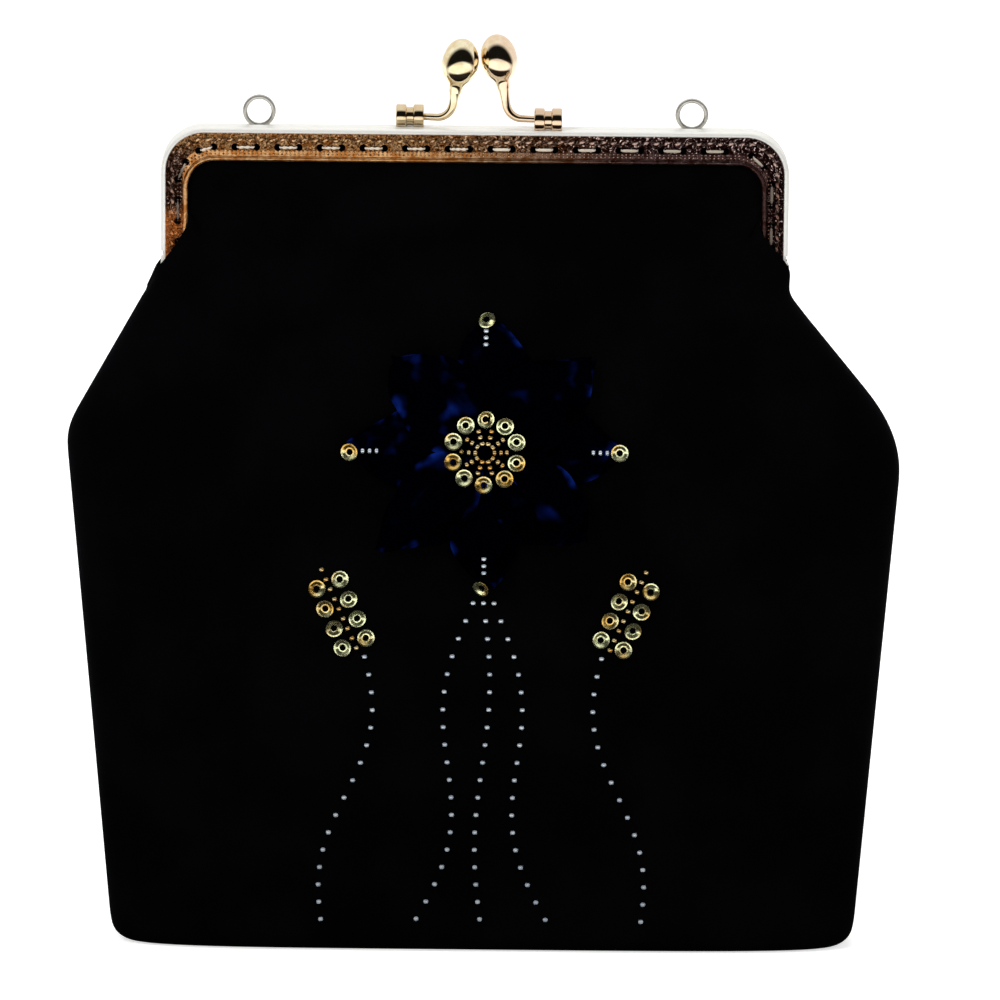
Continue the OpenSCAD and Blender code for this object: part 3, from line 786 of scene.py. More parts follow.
def half_depth(z):
    if z < BELLY_Z:
        turn = math.radians(90 * (z - BASE_EDGE_R) / (BELLY_Z - BASE_EDGE_R))
        return mix(BASE_HALF_DEPTH, BELLY_HALF_DEPTH, math.sin(turn))
    turn = math.radians(90 * (z - BELLY_Z) / (HINGE_Z - BELLY_Z))
    return mix(MOUTH_HALF_DEPTH, BELLY_HALF_DEPTH, math.cos(turn))


def skin_point(turn, side, z, depth, inset):
    """A point of the front skin, at a column's turn from the seam (0) to the middle (90 degrees)."""
    squareness = 2.4 + 2.1 * (1 - min(z, HINGE_Z) / HINGE_Z) ** 2
    across = math.cos(math.radians(turn)) ** (2 / squareness)
    forward = math.sin(math.radians(turn)) ** (2 / squareness)
    x = side * (side_w(z, side) - corner_cut(z, inset)) * across
    return Vector((x, -SEAM_GAP - (depth - SEAM_GAP) * forward, z))


COLUMNS = 40
COLUMNS_Z = 100


def column_turns():
    """The turn of each column from the seam to the middle, spaced evenly by girth."""
    steps = [i * 0.25 for i in range(361)]
    places = [skin_point(turn, 1, COLUMNS_Z, half_depth(COLUMNS_Z), 0) for turn in steps]
    girth = [0]
    for here, there in zip(places, places[1:]):
        girth.append(girth[-1] + (there - here).length)
    turns = []
    for i in range(COLUMNS + 1):
        wanted = girth[-1] * (i / COLUMNS)
        k = max(1, next(k for k, run in enumerate(girth) if run >= wanted - 1e-9))
        turns.append(mix(steps[k - 1], steps[k], (wanted - girth[k - 1]) / (girth[k] - girth[k - 1])))
    return turns


TURNS = column_turns()
SKIN_ROWS = 54
TOP_ROWS = 18


def skin_rows(inset, top):
    """Height and half depth of each row, from the seam under the base up to a height."""
    edge_r = BASE_EDGE_R - inset
    edge_d = BASE_HALF_DEPTH - BASE_EDGE_R
    rows = [(inset, max(SEAM_GAP, edge_d * f / 6)) for f in range(7)]
    for step in range(1, 5):
        turn = math.radians(step * 22.5)
        rows.append((BASE_EDGE_R - edge_r * math.cos(turn), edge_d + edge_r * math.sin(turn)))
    heights = [mix(BASE_EDGE_R, top, step / SKIN_ROWS) for step in range(1, SKIN_ROWS + 1)]
    return rows + [(z, half_depth(z) - inset) for z in heights]


def along_path(path, share):
    """A point on a path of points, at a share of its length."""
    runs = [(there - here).length for here, there in zip(path, path[1:])]
    left, last = share * sum(runs), len(runs) - 1
    for k, run in enumerate(runs):
        if left <= run or k == last:
            here, there = path[k], path[k + 1]
            before, after = path[max(0, k - 1)], path[min(last + 1, k + 2)]
            return hermite(here, there, (there - before) * 0.5, (after - here) * 0.5, min(1, left / run))
        left -= run


def channel_path(depth, leg_from):
    """The line up the inside of the frame's channel and over to its middle, at a depth."""
    inset = 4.1
    half_w, top, radius = FRAME_HALF_W - inset, FRAME_TOP - inset, FRAME_CORNER_R - inset
    corner = (half_w - radius, top - radius)
    path = [Vector((half_w, depth, z)) for z in (leg_from, mix(leg_from, corner[1], 0.5), corner[1])]
    for turn in (22.5, 45, 67.5, 90):
        angle = math.radians(turn)
        path.append(Vector((corner[0] + radius * math.cos(angle), depth, corner[1] + radius * math.sin(angle))))
    return path + [Vector((corner[0] * f, depth, top)) for f in (0.75, 0.5, 0.25, 0)]


NECK_FLARE = {-1: (4.0, 2.5, 1.3), 1: (0.5, 0.5, 0.8)}


def velvet_edge(side, outer, inner):
    """The velvet's upper edge, from the end of the side seam: forward round the hinge, over the leg's end
    along the fold, under the lip and up into the channel. X is measured from the frame's middle."""
    over = FACE_DEPTH + 2.35
    flare = NECK_FLARE[side]
    (outer_x, outer_z), (inner_x, inner_z) = ((abs(p.x / MM - FRAME_X), p.z / MM) for p in (outer, inner))
    path = [
        (FRAME_HALF_W + flare[0], SEAM_GAP, HINGE_Z - 6.3),
        (FRAME_HALF_W + flare[1], 2.2, HINGE_Z - 3.4),
        (FRAME_HALF_W + flare[2], 5.0, HINGE_Z - 0.4),
        (outer_x + 0.3, over - 0.3, outer_z),
        (mix(outer_x, inner_x, 0.5), over + 0.1, mix(outer_z, inner_z, 0.5)),
        (inner_x, over, inner_z - 0.6),
        (inner_x - 1.7, over - 0.9, inner_z + 1.1),
        (inner_x - 2.0, over - 2.3, inner_z + 2.3),
        (inner_x - 1.2, 4.0, inner_z + 3.5),
        (inner_x + 0.9, 3.65, inner_z + 4.8),
    ]
    return [Vector(place) for place in path] + channel_path(3.65, inner_z + 7.5)


def lining_edge():
    """The lining's upper edge: inside the hinge and up into the channel behind the velvet."""
    path = [(-0.6, SEAM_GAP, -8.5), (-3.2, 0.6, -6), (-5.4, 1.4, -2.5), (-5.4, 2.2, 1.5), (-4.8, 2.25, 6)]
    return [Vector((FRAME_HALF_W + x, y, HINGE_Z + z)) for x, y, z in path] + channel_path(2.25, HINGE_Z + 14)


def arrival(place, side):
    """The way the cloth is heading where it ends, from the side of the frame to its middle."""
    corner_x = FRAME_HALF_W - FRAME_CORNER_R
    share = smooth((abs(place.x) - 0.6 * corner_x) / (FRAME_HALF_W - 4 - 0.6 * corner_x))
    climb = smooth((place.z - HINGE_Z - 4) / 20)
    way = Vector((0.75 * share * climb, 0, 1 - 0.35 * share * climb)).normalized()
    return Vector((side * way.x, 0, way.z))


def cloth_grid(inset, top, edges=None):
    """Rows of points of the front cloth, each from the left seam to the right one, in millimetres.
    Above the last row of the skin it is carried up to the edges, one for each side."""
    heights = skin_rows(inset, top)
    columns = [(-1, i) for i in range(COLUMNS)] + [(1, COLUMNS - i) for i in range(COLUMNS + 1)]
    rows = [[skin_point(TURNS[i], side, z, depth, inset) for side, i in columns] for z, depth in heights]
    if not edges:
        return rows
    last, before = rows[-1], rows[-3]
    climb = heights[-1][0] - heights[-3][0]
    for step in range(1, TOP_ROWS + 1):
        row = []
        for k, (side, i) in enumerate(columns):
            place = along_path(edges[side], i / COLUMNS)
            end = Vector((FRAME_X + side * place.x, -place.y, place.z))
            reach = (end - last[k]).length
            leave = (last[k] - before[k]) / climb
            row.append(hermite(last[k], end, leave * reach, arrival(place, side) * reach, step / TOP_ROWS))
        rows.append(row)
    return rows


def cloth_sheet(name, rows, rear):
    """A flat grid whose points are drawn out to the rows of the cloth. The rear is the front's twin."""
    across, up = len(rows[0]) - 1, len(rows) - 1

    def drawn_out(point):
        i, j = round((point.x + 0.5) * across), round((point.y + 0.5) * up)
        place = rows[j][across - i if rear else i]
        return mm(place.x, -place.y if rear else place.y, place.z)

    deselect()
    bpy.ops.mesh.primitive_grid_add(x_subdivisions=across, y_subdivisions=up, size=1)
    return reshaped(named(name), drawn_out)


def held_share(i, j, across, up):
    """How firmly a point is held: sewn at the seams, the base and the channel, free in between."""
    seam, above = min(i, across - i), j - up + TOP_ROWS
    return max(
        1 - smooth((seam - 1) / 5),
        1 - smooth((j - 9) / 4),
        smooth((above - 1) / (TOP_ROWS * 0.45)),
        (1 - smooth((seam - 7) / 4)) * smooth((above + 4) / 6),
    )


SIMULATED_FRAMES = 20
CLOTH_CAP = 3.0
CLOTH_SETTINGS = {
    "quality": 6,
    "mass": 0.25,
    "tension_stiffness": 12,
    "compression_stiffness": 12,
    "bending_stiffness": 0.6,
    "vertex_group_mass": "sewn",
    "shrink_min": -0.03,
    "use_pressure": True,
    "uniform_pressure_force": 4.0,
}


def swell(sheet, places, across, up):
    """Lets the padded cloth swell and crease between its seams and tells each place's move, within the cap."""
    shares = [held_share(*place, across, up) for place in places]
    rest = [v.co.copy() for v in sheet.data.vertices]
    sewn = sheet.vertex_groups.new(name="sewn")
    for index, share in enumerate(shares):
        sewn.add([index], share, "REPLACE")
    cloth = sheet.modifiers.new("cloth", "CLOTH")
    for setting, value in CLOTH_SETTINGS.items():
        setattr(cloth.settings, setting, value)
    cloth.settings.effector_weights.gravity = 0
    cloth.point_cache.frame_start = 1
    cloth.point_cache.frame_end = SIMULATED_FRAMES
    scene = bpy.context.scene
    for step in range(1, SIMULATED_FRAMES + 1):
        scene.frame_set(step)
    done = sheet.evaluated_get(bpy.context.evaluated_depsgraph_get())
    moved = [v.co.copy() for v in done.data.vertices]
    sheet.modifiers.remove(cloth)
    sheet.vertex_groups.remove(sewn)
    scene.frame_set(1)
    moves = {}
    for place, share, start, end in zip(places, shares, rest, moved):
        move = end - start
        if move.length > CLOTH_CAP * MM:
            move = move.normalized() * CLOTH_CAP * MM
        moves[place] = move * (1 - share)
    return moves


def make_side(rear, edges):
    """One side of the bag: velvet, the fleece behind it and the lining, each with the swell of the velvet."""
    name = "rear" if rear else "front"
    velvet_rows = cloth_grid(0, JOIN_Z, edges)
    across, up = len(velvet_rows[0]) - 1, len(velvet_rows) - 1
    places = [(k % (across + 1), k // (across + 1)) for k in range((across + 1) * (up + 1))]
    velvet = cloth_sheet(f"{name}_velvet", velvet_rows, rear)
    inset = VELVET_T + LAYER_GAP
    fleece_rows = cloth_grid(inset, FLEECE_TOP_Z)
    for place in [place for row in fleece_rows for place in row]:
        place.y = min(place.y, -FLEECE_TRIM)
    moves = swell(velvet, places, across, up)
    fleece = cloth_sheet(f"{name}_padding", fleece_rows, rear)
    inset += FLEECE_T + LAYER_GAP
    lining_rows = cloth_grid(inset, JOIN_Z, {side: lining_edge() for side in (-1, 1)})
    lining = cloth_sheet(f"{name}_lining_cloth", lining_rows, rear)
    for sheet in (velvet, fleece, lining):
        for vertex, place in zip(sheet.data.vertices, places):
            vertex.co += moves.get(place, Vector())
        sheet.data.update()
    # Rounding would draw the edges back from each other and open the seam.
    coat(walled(velvet, VELVET_T, crease=1, levels=1), VELVET_FINISH)
    coat(walled(fleece, FLEECE_T), FLEECE_FINISH)
    coat(walled(lining, LINING_T), LINING_FINISH)
    return velvet, fleece, lining


add_camera()
face_tree = tree_of(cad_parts["front_frame"])
EDGES = {
    side: velvet_edge(side, *(seen_place(f"fold_{name}_{end}", face_tree) for end in ("outer", "inner")))
    for side, name in ((-1, "left"), (1, "right"))
}
front_velvet, front_padding, front_lining_cloth = make_side(False, EDGES)
rear_velvet, rear_padding, rear_lining_cloth = make_side(True, EDGES)
front_tree = tree_of(front_velvet)


# ---------------------------------------------------------------- the embossed face and the sewing

def arch_place(half_w, top, radius, travel):
    """A place on an arch and its turn, travelling from the middle of the top, right positive."""
    side = 1 if travel >= 0 else -1
    run = abs(travel)
    straight = half_w - radius
    bend = radius * math.pi / 2
    if run <= straight:
        return side * run, top, 0.0
    run -= straight
    if run <= bend:
        turn = run / radius
        return side * (straight + radius * math.sin(turn)), top - radius + radius * math.cos(turn), side * turn
    return side * half_w, top - radius - (run - bend), side * math.pi / 2


def arch_length(half_w, top, radius):
    """The length of an arch from its middle down to just above the hinge."""
    return half_w - radius + radius * math.pi / 2 + top - radius - (HINGE_Z + 2)


def on_face(arch, travel, lift=0.0, spin=0.0, size=1.0, flip=1):
    """Where an ornament sits on the front face: its X runs along the arch, its Y outwards, its Z forwards."""
    x, z, turn = arch_place(*arch, travel)
    along = Vector((math.cos(turn), 0, -math.sin(turn)))
    outward = Vector((math.sin(turn), 0, math.cos(turn))) * flip
    place = Matrix.Translation(mm(FRAME_X + x, -FACE_DEPTH - lift, z))
    basis = turned_to(along, outward, Vector((0, -1, 0)))
    return place @ basis @ Matrix.Rotation(spin, 4, "Z") @ Matrix.Scale(size, 4)


def ornament(name, segments, rings, place_of):
    """A small raised form pulled out of a sphere."""
    deselect()
    bpy.ops.mesh.primitive_uv_sphere_add(segments=segments, ring_count=rings, radius=1)
    return smooth_shaded(reshaped(named(name), place_of), 60)


def leaf_place(point):
    """One curled leaf of the scroll, a millimetre and a half long."""
    x, y, z = point
    taper = 0.55 + 0.45 * math.cos((x + 0.35) * 1.2)
    groove = 0.10 * math.exp(-(y / 0.22) ** 2) * (1 - abs(x))
    return mm(x * 1.35, y * 0.62 * taper + 0.42 * x * x - 0.15, max(-0.1, z * 0.30 - groove))


LEAF_ROW_DROP = 3.35
MILGRAIN_PITCH, MILGRAIN_ROW_GAP = 1.2, 0.78
VINE_R, VINE_SWAY, VINE_STEP = 0.16, 0.42, 0.45
ROSE_R, ROSE_LEAF_SIZE = 0.75, 0.36


def face_ornament():
    """Leaf scrolls along the outer edge, rosettes between the stitches and two rows of milgrain by the lip."""
    leaf = ornament("leaf_pattern", 12, 7, leaf_place)
    dot = ornament("dot_pattern", 8, 5, lambda p: Vector((p.x * 0.31, p.y * 0.31, p.z * 0.26)) * MM)
    places, dots = [], []
    arch = (FRAME_HALF_W - LEAF_ROW_DROP, FRAME_TOP - LEAF_ROW_DROP, FRAME_CORNER_R - LEAF_ROW_DROP)
    reach = arch_length(*arch)
    pitch = HOLE_PITCH / 2
    for k in range(-int(reach / pitch), int(reach / pitch) + 1):
        flip = 1 if k % 2 else -1
        places.append(on_face(arch, k * pitch, 0, 0.35 * flip, 0.86, flip))
        dots.append(on_face(arch, (k + 0.5) * pitch, -0.02, 0, 0.75))
    first = (FRAME_TOP - seen_place("milgrain", face_tree).z / MM) - TOP_BAR_W
    for offset in (-first, -first + MILGRAIN_ROW_GAP):
        offset = max(1.75, offset)
        row = (FRAME_HALF_W - LEG_W + offset, FRAME_TOP - TOP_BAR_W + offset, FACE_CORNER_R + offset)
        count = int(arch_length(*row) / MILGRAIN_PITCH)
        dots += [on_face(row, k * MILGRAIN_PITCH) for k in range(-count, count + 1)]
    rose_row = (FRAME_HALF_W - HOLE_DROP, FRAME_TOP - HOLE_DROP, FRAME_CORNER_R - HOLE_DROP)
    for k in range(1 - TOP_HOLES, TOP_HOLES, 2):
        travel = TOP_HOLE_X + (k + 0.5) * HOLE_PITCH
        dots.append(on_face(rose_row, travel, 0.02, 0, 0.9))
        for turn in range(0, 360, 72):
            heart = on_face(rose_row, travel, 0, math.radians(turn))
            places.append(heart @ Matrix.Translation(mm(ROSE_R, 0, 0)) @ Matrix.Scale(ROSE_LEAF_SIZE, 4))
    leaves = copies("scroll_leaves", leaf, places)
    milgrains = copies("milgrain", dot, dots)
    vine_points = []
    steps = int(2 * reach / VINE_STEP)
    for step in range(steps + 1):
        travel = mix(-reach, reach, step / steps)
        x, z, turn = arch_place(*arch, travel)
        sway = VINE_SWAY * math.sin(math.pi * travel / pitch)
        vine_points.append((
            FRAME_X + x + math.sin(turn) * sway, -FACE_DEPTH - 0.02, z + math.cos(turn) * sway
        ))
    vine = drawn_wire("vine", vine_points, [VINE_R] * len(vine_points), sides=1)
    remove(leaf, dot)
    return joined("front_scrollwork", [leaves, milgrains, vine])


TOP_HOLE_X = -1.6
LEG_HOLE_IN, LEG_HOLE_DOWN, LEG_HOLE_PITCH = 5, 15, 6
CORNER_HOLES = ((7.3, 10), (10.9, 6.7))


def hole_places():
    """The sewing holes, from the bottom of the left leg over the top to the right leg's."""
    inwards = [(LEG_HOLE_IN, LEG_HOLE_DOWN + i * LEG_HOLE_PITCH) for i in reversed(range(LEG_HOLES))]
    left = [(x - FRAME_HALF_W, FRAME_TOP - z) for x, z in (*inwards, *CORNER_HOLES)]
    top = [(TOP_HOLE_X + k * HOLE_PITCH, FRAME_TOP - HOLE_DROP) for k in range(-TOP_HOLES, TOP_HOLES + 1)]
    return left + top + [(-x, z) for x, z in reversed(left)]


HOLES = hole_places()
PLY_R = 0.25
PLY_OFFSET = 0.19
THREAD_R = PLY_OFFSET + PLY_R
THREAD_BEND_R = 0.4
TWIST_PITCH = 3.4
NEAR_EDGE = 0.72
DIVE_SHARE = 0.66


def thread_profile():
    """The section of a thread of two plies."""
    deselect()
    bpy.ops.curve.primitive_bezier_circle_add()
    profile = named("thread_section")
    profile.data.splines.clear()
    line = profile.data.splines.new("POLY")
    line.points.add(9)
    for i, point in enumerate(line.points):
        ply, turn = (1, -1)[i // 5], math.radians(-76 + i % 5 * 38)
        point.co = (*mm(ply * (PLY_OFFSET + PLY_R * math.cos(turn)), ply * PLY_R * math.sin(turn), 0), 1)
    line.use_cyclic_u = True
    return profile


def stitching(name, rear):
    """The running stitch: over the face, down a hole, along behind the plate and up the next."""
    over, under = FACE_DEPTH + THREAD_R + 0.02, PLATE_DEPTH - THREAD_R - 0.04
    corners = []
    for i, (x, z) in enumerate(HOLES):
        starts_bar = i % 2 == 1
        other = HOLES[min(i + 1, len(HOLES) - 1) if starts_bar else max(i - 1, 0)]
        towards = Vector((other[0] - x, other[1] - z))
        if towards.length:
            towards = towards.normalized() * NEAR_EDGE
        depths = (under, over) if starts_bar else (over, under)
        corners += [Vector((FRAME_X + (x + towards.x), -depth, z + towards.y)) for depth in depths]
    corners = corners[1:-1]
    points = [corners[0]]
    for before, here, after in zip(corners, corners[1:], corners[2:]):
        start = here + (before - here).normalized() * THREAD_BEND_R
        end = here + (after - here).normalized() * THREAD_BEND_R
        points += [start, (start + end) * 0.25 + here * 0.5, end]
    points.append(corners[-1])
    fine = [points[0]]
    for here, there in zip(points, points[1:]):
        count = max(1, round((there - here).length / 0.4))
        fine += [here.lerp(there, (k + 1) / count) for k in range(count)]
    spaced = [Vector((p.x, -p.y if rear else p.y, p.z)) for p in fine]
    travel, tilts = 0, [0]
    for here, there in zip(spaced, spaced[1:]):
        travel += (there - here).length
        tilts.append(travel * 2 * math.pi / TWIST_PITCH)
    shares = []
    for p in spaced:
        away = min(math.hypot(p.x - FRAME_X - x, p.z - z) for x, z in HOLES)
        shares.append(mix(DIVE_SHARE, 1, smooth((away - NEAR_EDGE - 0.1) / 0.8)))
    profile = thread_profile()
    thread = drawn_wire(name, spaced, shares, tilts, profile)
    remove(profile)
    return coat(thread, THREAD_FINISH)


front_scrollwork = coat(face_ornament(), RELIEF_FINISH)
rear_scrollwork = called(twin_of(front_scrollwork), "rear_scrollwork")
rear_scrollwork.data.transform(Matrix.Scale(-1, 4, (0, 1, 0)))
rear_scrollwork.data.flip_normals()
front_stitching = stitching("front_stitching", False)
rear_stitching = stitching("rear_stitching", True)


# ---------------------------------------------------------------- the clasp

FOOT_OFFSET = 19.8
FOOT_DEPTH = 2.7
FOOT_Z = 240.8
FOOT_W = 8
FOOT_R = 3.4
BALL_OFFSET = 5.5
BALL_DEPTH = -1.2
BALL_Z = {"front": 257.7, "rear": 256.7}
BALL_LEAN = math.radians(10)
BEND_R = 4.8
BALL_R = 5.3
BALL_UP = 7.2
NECK_H = 8.6
# The ball below its widest place and the collar under it: distance below, radius.
BALL_BELOW = (
    (8.6, 1.85), (8.2, 1.9), (7.6, 2.0), (7.0, 2.12), (6.5, 2.27), (6.15, 2.46), (5.85, 2.72), (5.5, 3.04),
    (5.0, 3.53), (4.5, 3.93), (3.8, 4.37), (3.0, 4.74), (2.2, 5.0), (1.4, 5.18), (0.7, 5.27),
)
CLASP_X = FRAME_X + 1


def clasp_line(half):
    """The foot, the ball, the level way from one to the other and the axis of the leaning ball. The rear half's
    clasp is the front's turned half round."""
    way = 1 if half == "front" else -1
    foot = Vector((CLASP_X + way * FOOT_OFFSET, -way * FOOT_DEPTH, FOOT_Z))
    ball = Vector((CLASP_X + way * BALL_OFFSET, -way * BALL_DEPTH, BALL_Z[half]))
    along = Vector((ball.x - foot.x, ball.y - foot.y, 0)).normalized()
    return foot, ball, along, along * math.sin(BALL_LEAN) + Vector((0, 0, math.cos(BALL_LEAN)))


def clasp_foot(half):
    """A barrel foot: two rounded rings, a waist between them and a saddle on the spine."""
    w, r, soft = FOOT_W / 2, FOOT_R, 0.35
    rings = [
        (-w, 0.6 * r), (-w, r - soft), (-w + 0.12, r - 0.12), (-w + soft, r), (-1.35, r),
        (-1.1, r - 0.15), (-0.98, r - soft), (-0.9, 2.72), (-0.5, 2.62),
    ]
    rings += [(-at, radius) for at, radius in reversed(rings)] + [(w, 0.2 * r)]
    barrel = turned(f"{half}_clasp_foot", clasp_line(half)[0], (1, 0, 0), rings, 48)
    pick(barrel)
    edit_all()
    bpy.ops.mesh.bisect(
        plane_co=mm(0, 0, FRAME_TOP + 0.03), plane_no=(0, 0, -1), clear_outer=True, use_fill=True
    )
    edit_done()
    return barrel


def clasp_arm(half):
    """A bent wire, thinner at its foot, that thickens as it rises with the lean of the ball to its collar."""
    foot, ball, along, axis = clasp_line(half)
    up = Vector((0, 0, 1))
    neck = ball - axis * (NECK_H - 0.3)
    rise = (neck.z - foot.z - BEND_R * (1 - math.sin(BALL_LEAN))) / math.cos(BALL_LEAN)
    bent = neck - axis * rise
    bend = bent - along * BEND_R * math.cos(BALL_LEAN) - up * BEND_R * (1 - math.sin(BALL_LEAN))
    points, radii = [], []
    for k in range(5):
        points.append((foot + along * (FOOT_W / 2 - 0.4)).lerp(bend, k / 4))
        radii.append(mix(1.0, 1.1, k / 4))
    for k in range(1, 17):
        turn = (math.radians(90) - BALL_LEAN) * k / 16
        points.append(bend + along * BEND_R * math.sin(turn) + up * BEND_R * (1 - math.cos(turn)))
        radii.append(mix(1.1, 1.32, k / 16))
    for k in range(1, 9):
        points.append(bent.lerp(neck, k / 8))
        radii.append(mix(1.32, 1.8, (k / 8) ** 2))
    return drawn_wire(f"{half}_clasp_arm", points, radii, sides=6)


def clasp_ball(half):
    """An egg with a round crown, on the collar that joins it to its arm."""
    rings = [(-below, radius) for below, radius in BALL_BELOW]
    for k in range(17):
        turn = math.radians(mix(90, 4, k / 16))
        rings.append((BALL_UP * math.cos(turn), BALL_R * math.sin(turn)))
    _, ball, _, axis = clasp_line(half)
    return turned(f"{half}_clasp_ball", ball, axis, rings, 48)


for half in ("front", "rear"):
    for make, node in ((clasp_foot, "clasp_foot"), (clasp_arm, "clasp_arm"), (clasp_ball, "clasp_ball")):
        piece = coat(make(half), CLASP_FINISH)
        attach(piece, f"{half}_half")
        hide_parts(f"{node}_{half}")


# ---------------------------------------------------------------- the embroidery

def on_cloth(tree, x, z):
    """The surface at a place seen from straight in front, and its outward normal."""
    hit, normal, _, _ = tree.ray_cast(mm(x, -200, z), Vector((0, 1, 0)))
    if hit is None:
        hit, normal, _, _ = tree.find_nearest(mm(x, -BELLY_HALF_DEPTH, z))
    return hit, -normal if normal.y > 0 else normal


def laid(tree, x, z, lift, spin=0.0, tilt=0.0, sway=0.0):
    """The place of a bead or sequin on the cloth: its Z stands off the cloth, its Y runs up it."""
    hit, normal = on_cloth(tree, x, z)
    normal = (normal + on_cloth(front_tree, x, z)[1]).normalized()
    up = (Vector((0, 0, 1)) - normal * normal.z).normalized()
    return (
        Matrix.Translation(hit + normal * lift * MM) @ turned_to(up.cross(normal), up, normal)
        @ Matrix.Rotation(spin, 4, "Z") @ Matrix.Rotation(tilt, 4, "X") @ Matrix.Rotation(sway, 4, "Y")
    )


def petal_half_w(v):
    return PETAL_W / 2 * max(0.0, math.sin(math.pi * min(1, v) ** 0.86)) ** 0.62


def petal_height(u, v, upper, seed):
    """How far the satin stands off the velvet: pleated at its root, creased down its middle, its free edges
    ruffled and curled up."""
    free = smooth((v - (0.2 if upper else 0.55)) / 0.45)
    pleats = 0.42 * math.cos(u * math.pi * 4.5 + seed) * (1 - smooth((v - 0.08) / 0.5)) * smooth(v / 0.1)
    crease = -0.4 * math.exp(-((u - 0.12 * math.sin(seed)) / 0.13) ** 2) * smooth(v / 0.25) * (1 - 0.6 * v)
    ruffle = (math.sin(v * 9.5 + seed * 2.3) * u + 0.6 * math.sin(v * 15 - seed)) * abs(u) ** 1.4
    fold = math.sin(u * 3.1 + v * 4.3 + seed * 1.9)
    curl = smooth((v - 0.74) / 0.26)
    if upper:
        flutter = 2.2 * abs(u) ** 2.4 + 0.9 * ruffle + 0.45 * fold + 0.6
        return 1.5 + pleats + crease + free * flutter + 1.3 * curl
    flutter = 1.3 + 0.9 * abs(u) ** 2 + 0.6 * ruffle + 0.4 * fold
    return 0.7 + pleats + crease * 0.6 + free * flutter + 0.5 * curl


PETAL_ACROSS, PETAL_ALONG = 24, 32
SATIN_T = 0.3


def petal(number):
    """One satin petal, laid on the velvet from its root outwards."""
    upper = number % 2 == 1
    seed = number * 1.7
    turn = math.radians(number * 360 / PETALS + 3 * math.sin(seed * 3.1))
    out = (-math.sin(turn), math.cos(turn))
    side = (math.cos(turn), math.sin(turn))
    length = (FLOWER_R + 1 - PETAL_ROOT) * (1 + (0.05 * math.sin(seed * 2.7) if upper else 0))
    width = 1 + 0.07 * math.cos(seed * 4.3)

    def drawn_out(point):
        u, v = point.x * 2, point.y + 0.5
        hand = 1 if u > 0 else -1
        edge = 1 + 0.07 * math.sin(v * 7 + seed + hand) + 0.03 * math.sin(v * 19 + hand * seed)
        across = u * (petal_half_w(mix(0.02, 0.985, v)) * edge * width + 0.35 * (1 - v))
        across += 1.1 * math.sin(v * 2.6 + seed) * v
        along = PETAL_ROOT - 1 + v * length * (1 - 0.06 * u * u + 0.02 * math.sin(u * 6 + seed))
        x = across * side[0] + along * out[0]
        z = FLOWER_Z + across * side[1] + along * out[1]
        hit, normal = on_cloth(front_tree, x, z)
        return hit + (Vector((0, -1, 0)) * 0.8 + normal * 0.2) * petal_height(u, v, upper, seed) * MM

    deselect()
    bpy.ops.mesh.primitive_grid_add(
        x_subdivisions=PETAL_ACROSS, y_subdivisions=PETAL_ALONG, size=1, calc_uvs=True
    )
    piece = reshaped(named(f"satin_petal_{number}"), drawn_out)
    return coat(walled(piece, SATIN_T, offset=0, levels=1), SATIN_FINISH)


SEQUIN_HOLE_R = 0.95
SEQUIN_RINGS = ((0, SEQUIN_HOLE_R), (0.02, 1.3), (0.2, 1.6), (0.5, 2.1), (0.58, SEQUIN_R))
FOIL_T = 0.12


def sequin_pattern():
    """A cupped sequin: a hole with a flat eye round it and a rim pressed in facets."""
    deselect()
    bpy.ops.mesh.primitive_circle_add(vertices=16, radius=SEQUIN_HOLE_R * MM, fill_type="NOTHING")
    sequin = named("sequin_pattern")
    edit_all()
    draw_out(Vector(), Vector((0, 0, 1)), SEQUIN_RINGS)
    edit_done()
    return smooth_shaded(face_outwards(walled(sequin, FOIL_T)), 18)


def bead_pattern():
    """A seed bead: a squat ring whose hole runs along X."""
    deselect()
    bpy.ops.mesh.primitive_torus_add(
        major_segments=12, minor_segments=6, major_radius=0.46 * MM, minor_radius=0.30 * MM,
        rotation=(0, math.radians(90), 0),
    )
    bead = settle_place(named("bead_pattern"))
    return smooth_shaded(reshaped(bead, lambda p: Vector((p.x * 1.65, p.y, p.z))), 70)


def flower_place(radius, turn, lift, spin=0.0, tilt=0.0, sway=0.0, reach=0.0):
    """A place in the flower. With a reach, it lies on the highest satin within that reach."""
    x, z = -radius * math.sin(turn), FLOWER_Z + radius * math.cos(turn)
    if reach:
        level = on_cloth(flower_tree, x, z)[0].y
        around = [math.radians(45 * k) for k in range(8)]
        hits = [on_cloth(flower_tree, x + reach * math.cos(a), z + reach * math.sin(a))[0] for a in around]
        lift += max(0, level - min(hit.y for hit in hits)) / MM
    return laid(flower_tree, x, z, lift, turn + spin, tilt, sway)


SPRAY_X, SPRAY_Z, SPRAY_LEAN = 37, 92, math.radians(24)
SPRAY_PITCH, SPRAY_HALF_W = 6.2, 3.6


def spray_point(side, i, leaf):
    """A place in a spray, on its left or right side, some leaves up from its root."""
    along, across = i * SPRAY_PITCH, leaf * SPRAY_HALF_W
    return (
        side * (SPRAY_X + along * math.sin(SPRAY_LEAN) + across * math.cos(SPRAY_LEAN)),
        SPRAY_Z + along * math.cos(SPRAY_LEAN) - across * math.sin(SPRAY_LEAN),
    )


# Each stem: x at its top and at its bottom, the height of its top, and its sway.
STEMS = ((-34, -46, 88, 4), (-3, -20, 104, -5), (0, 0, 104, 2), (3, 20, 104, 5), (34, 46, 88, -4))
STEM_BOTTOM = 8
STEM_PITCH = 5.2


def stem_x(stem, z):
    f = (stem[2] - z) / (stem[2] - STEM_BOTTOM)
    return mix(stem[0], stem[1], f ** 1.3) + stem[3] * math.sin(2 * math.pi * f)


petals = [petal(number) for number in range(1, PETALS + 1)]

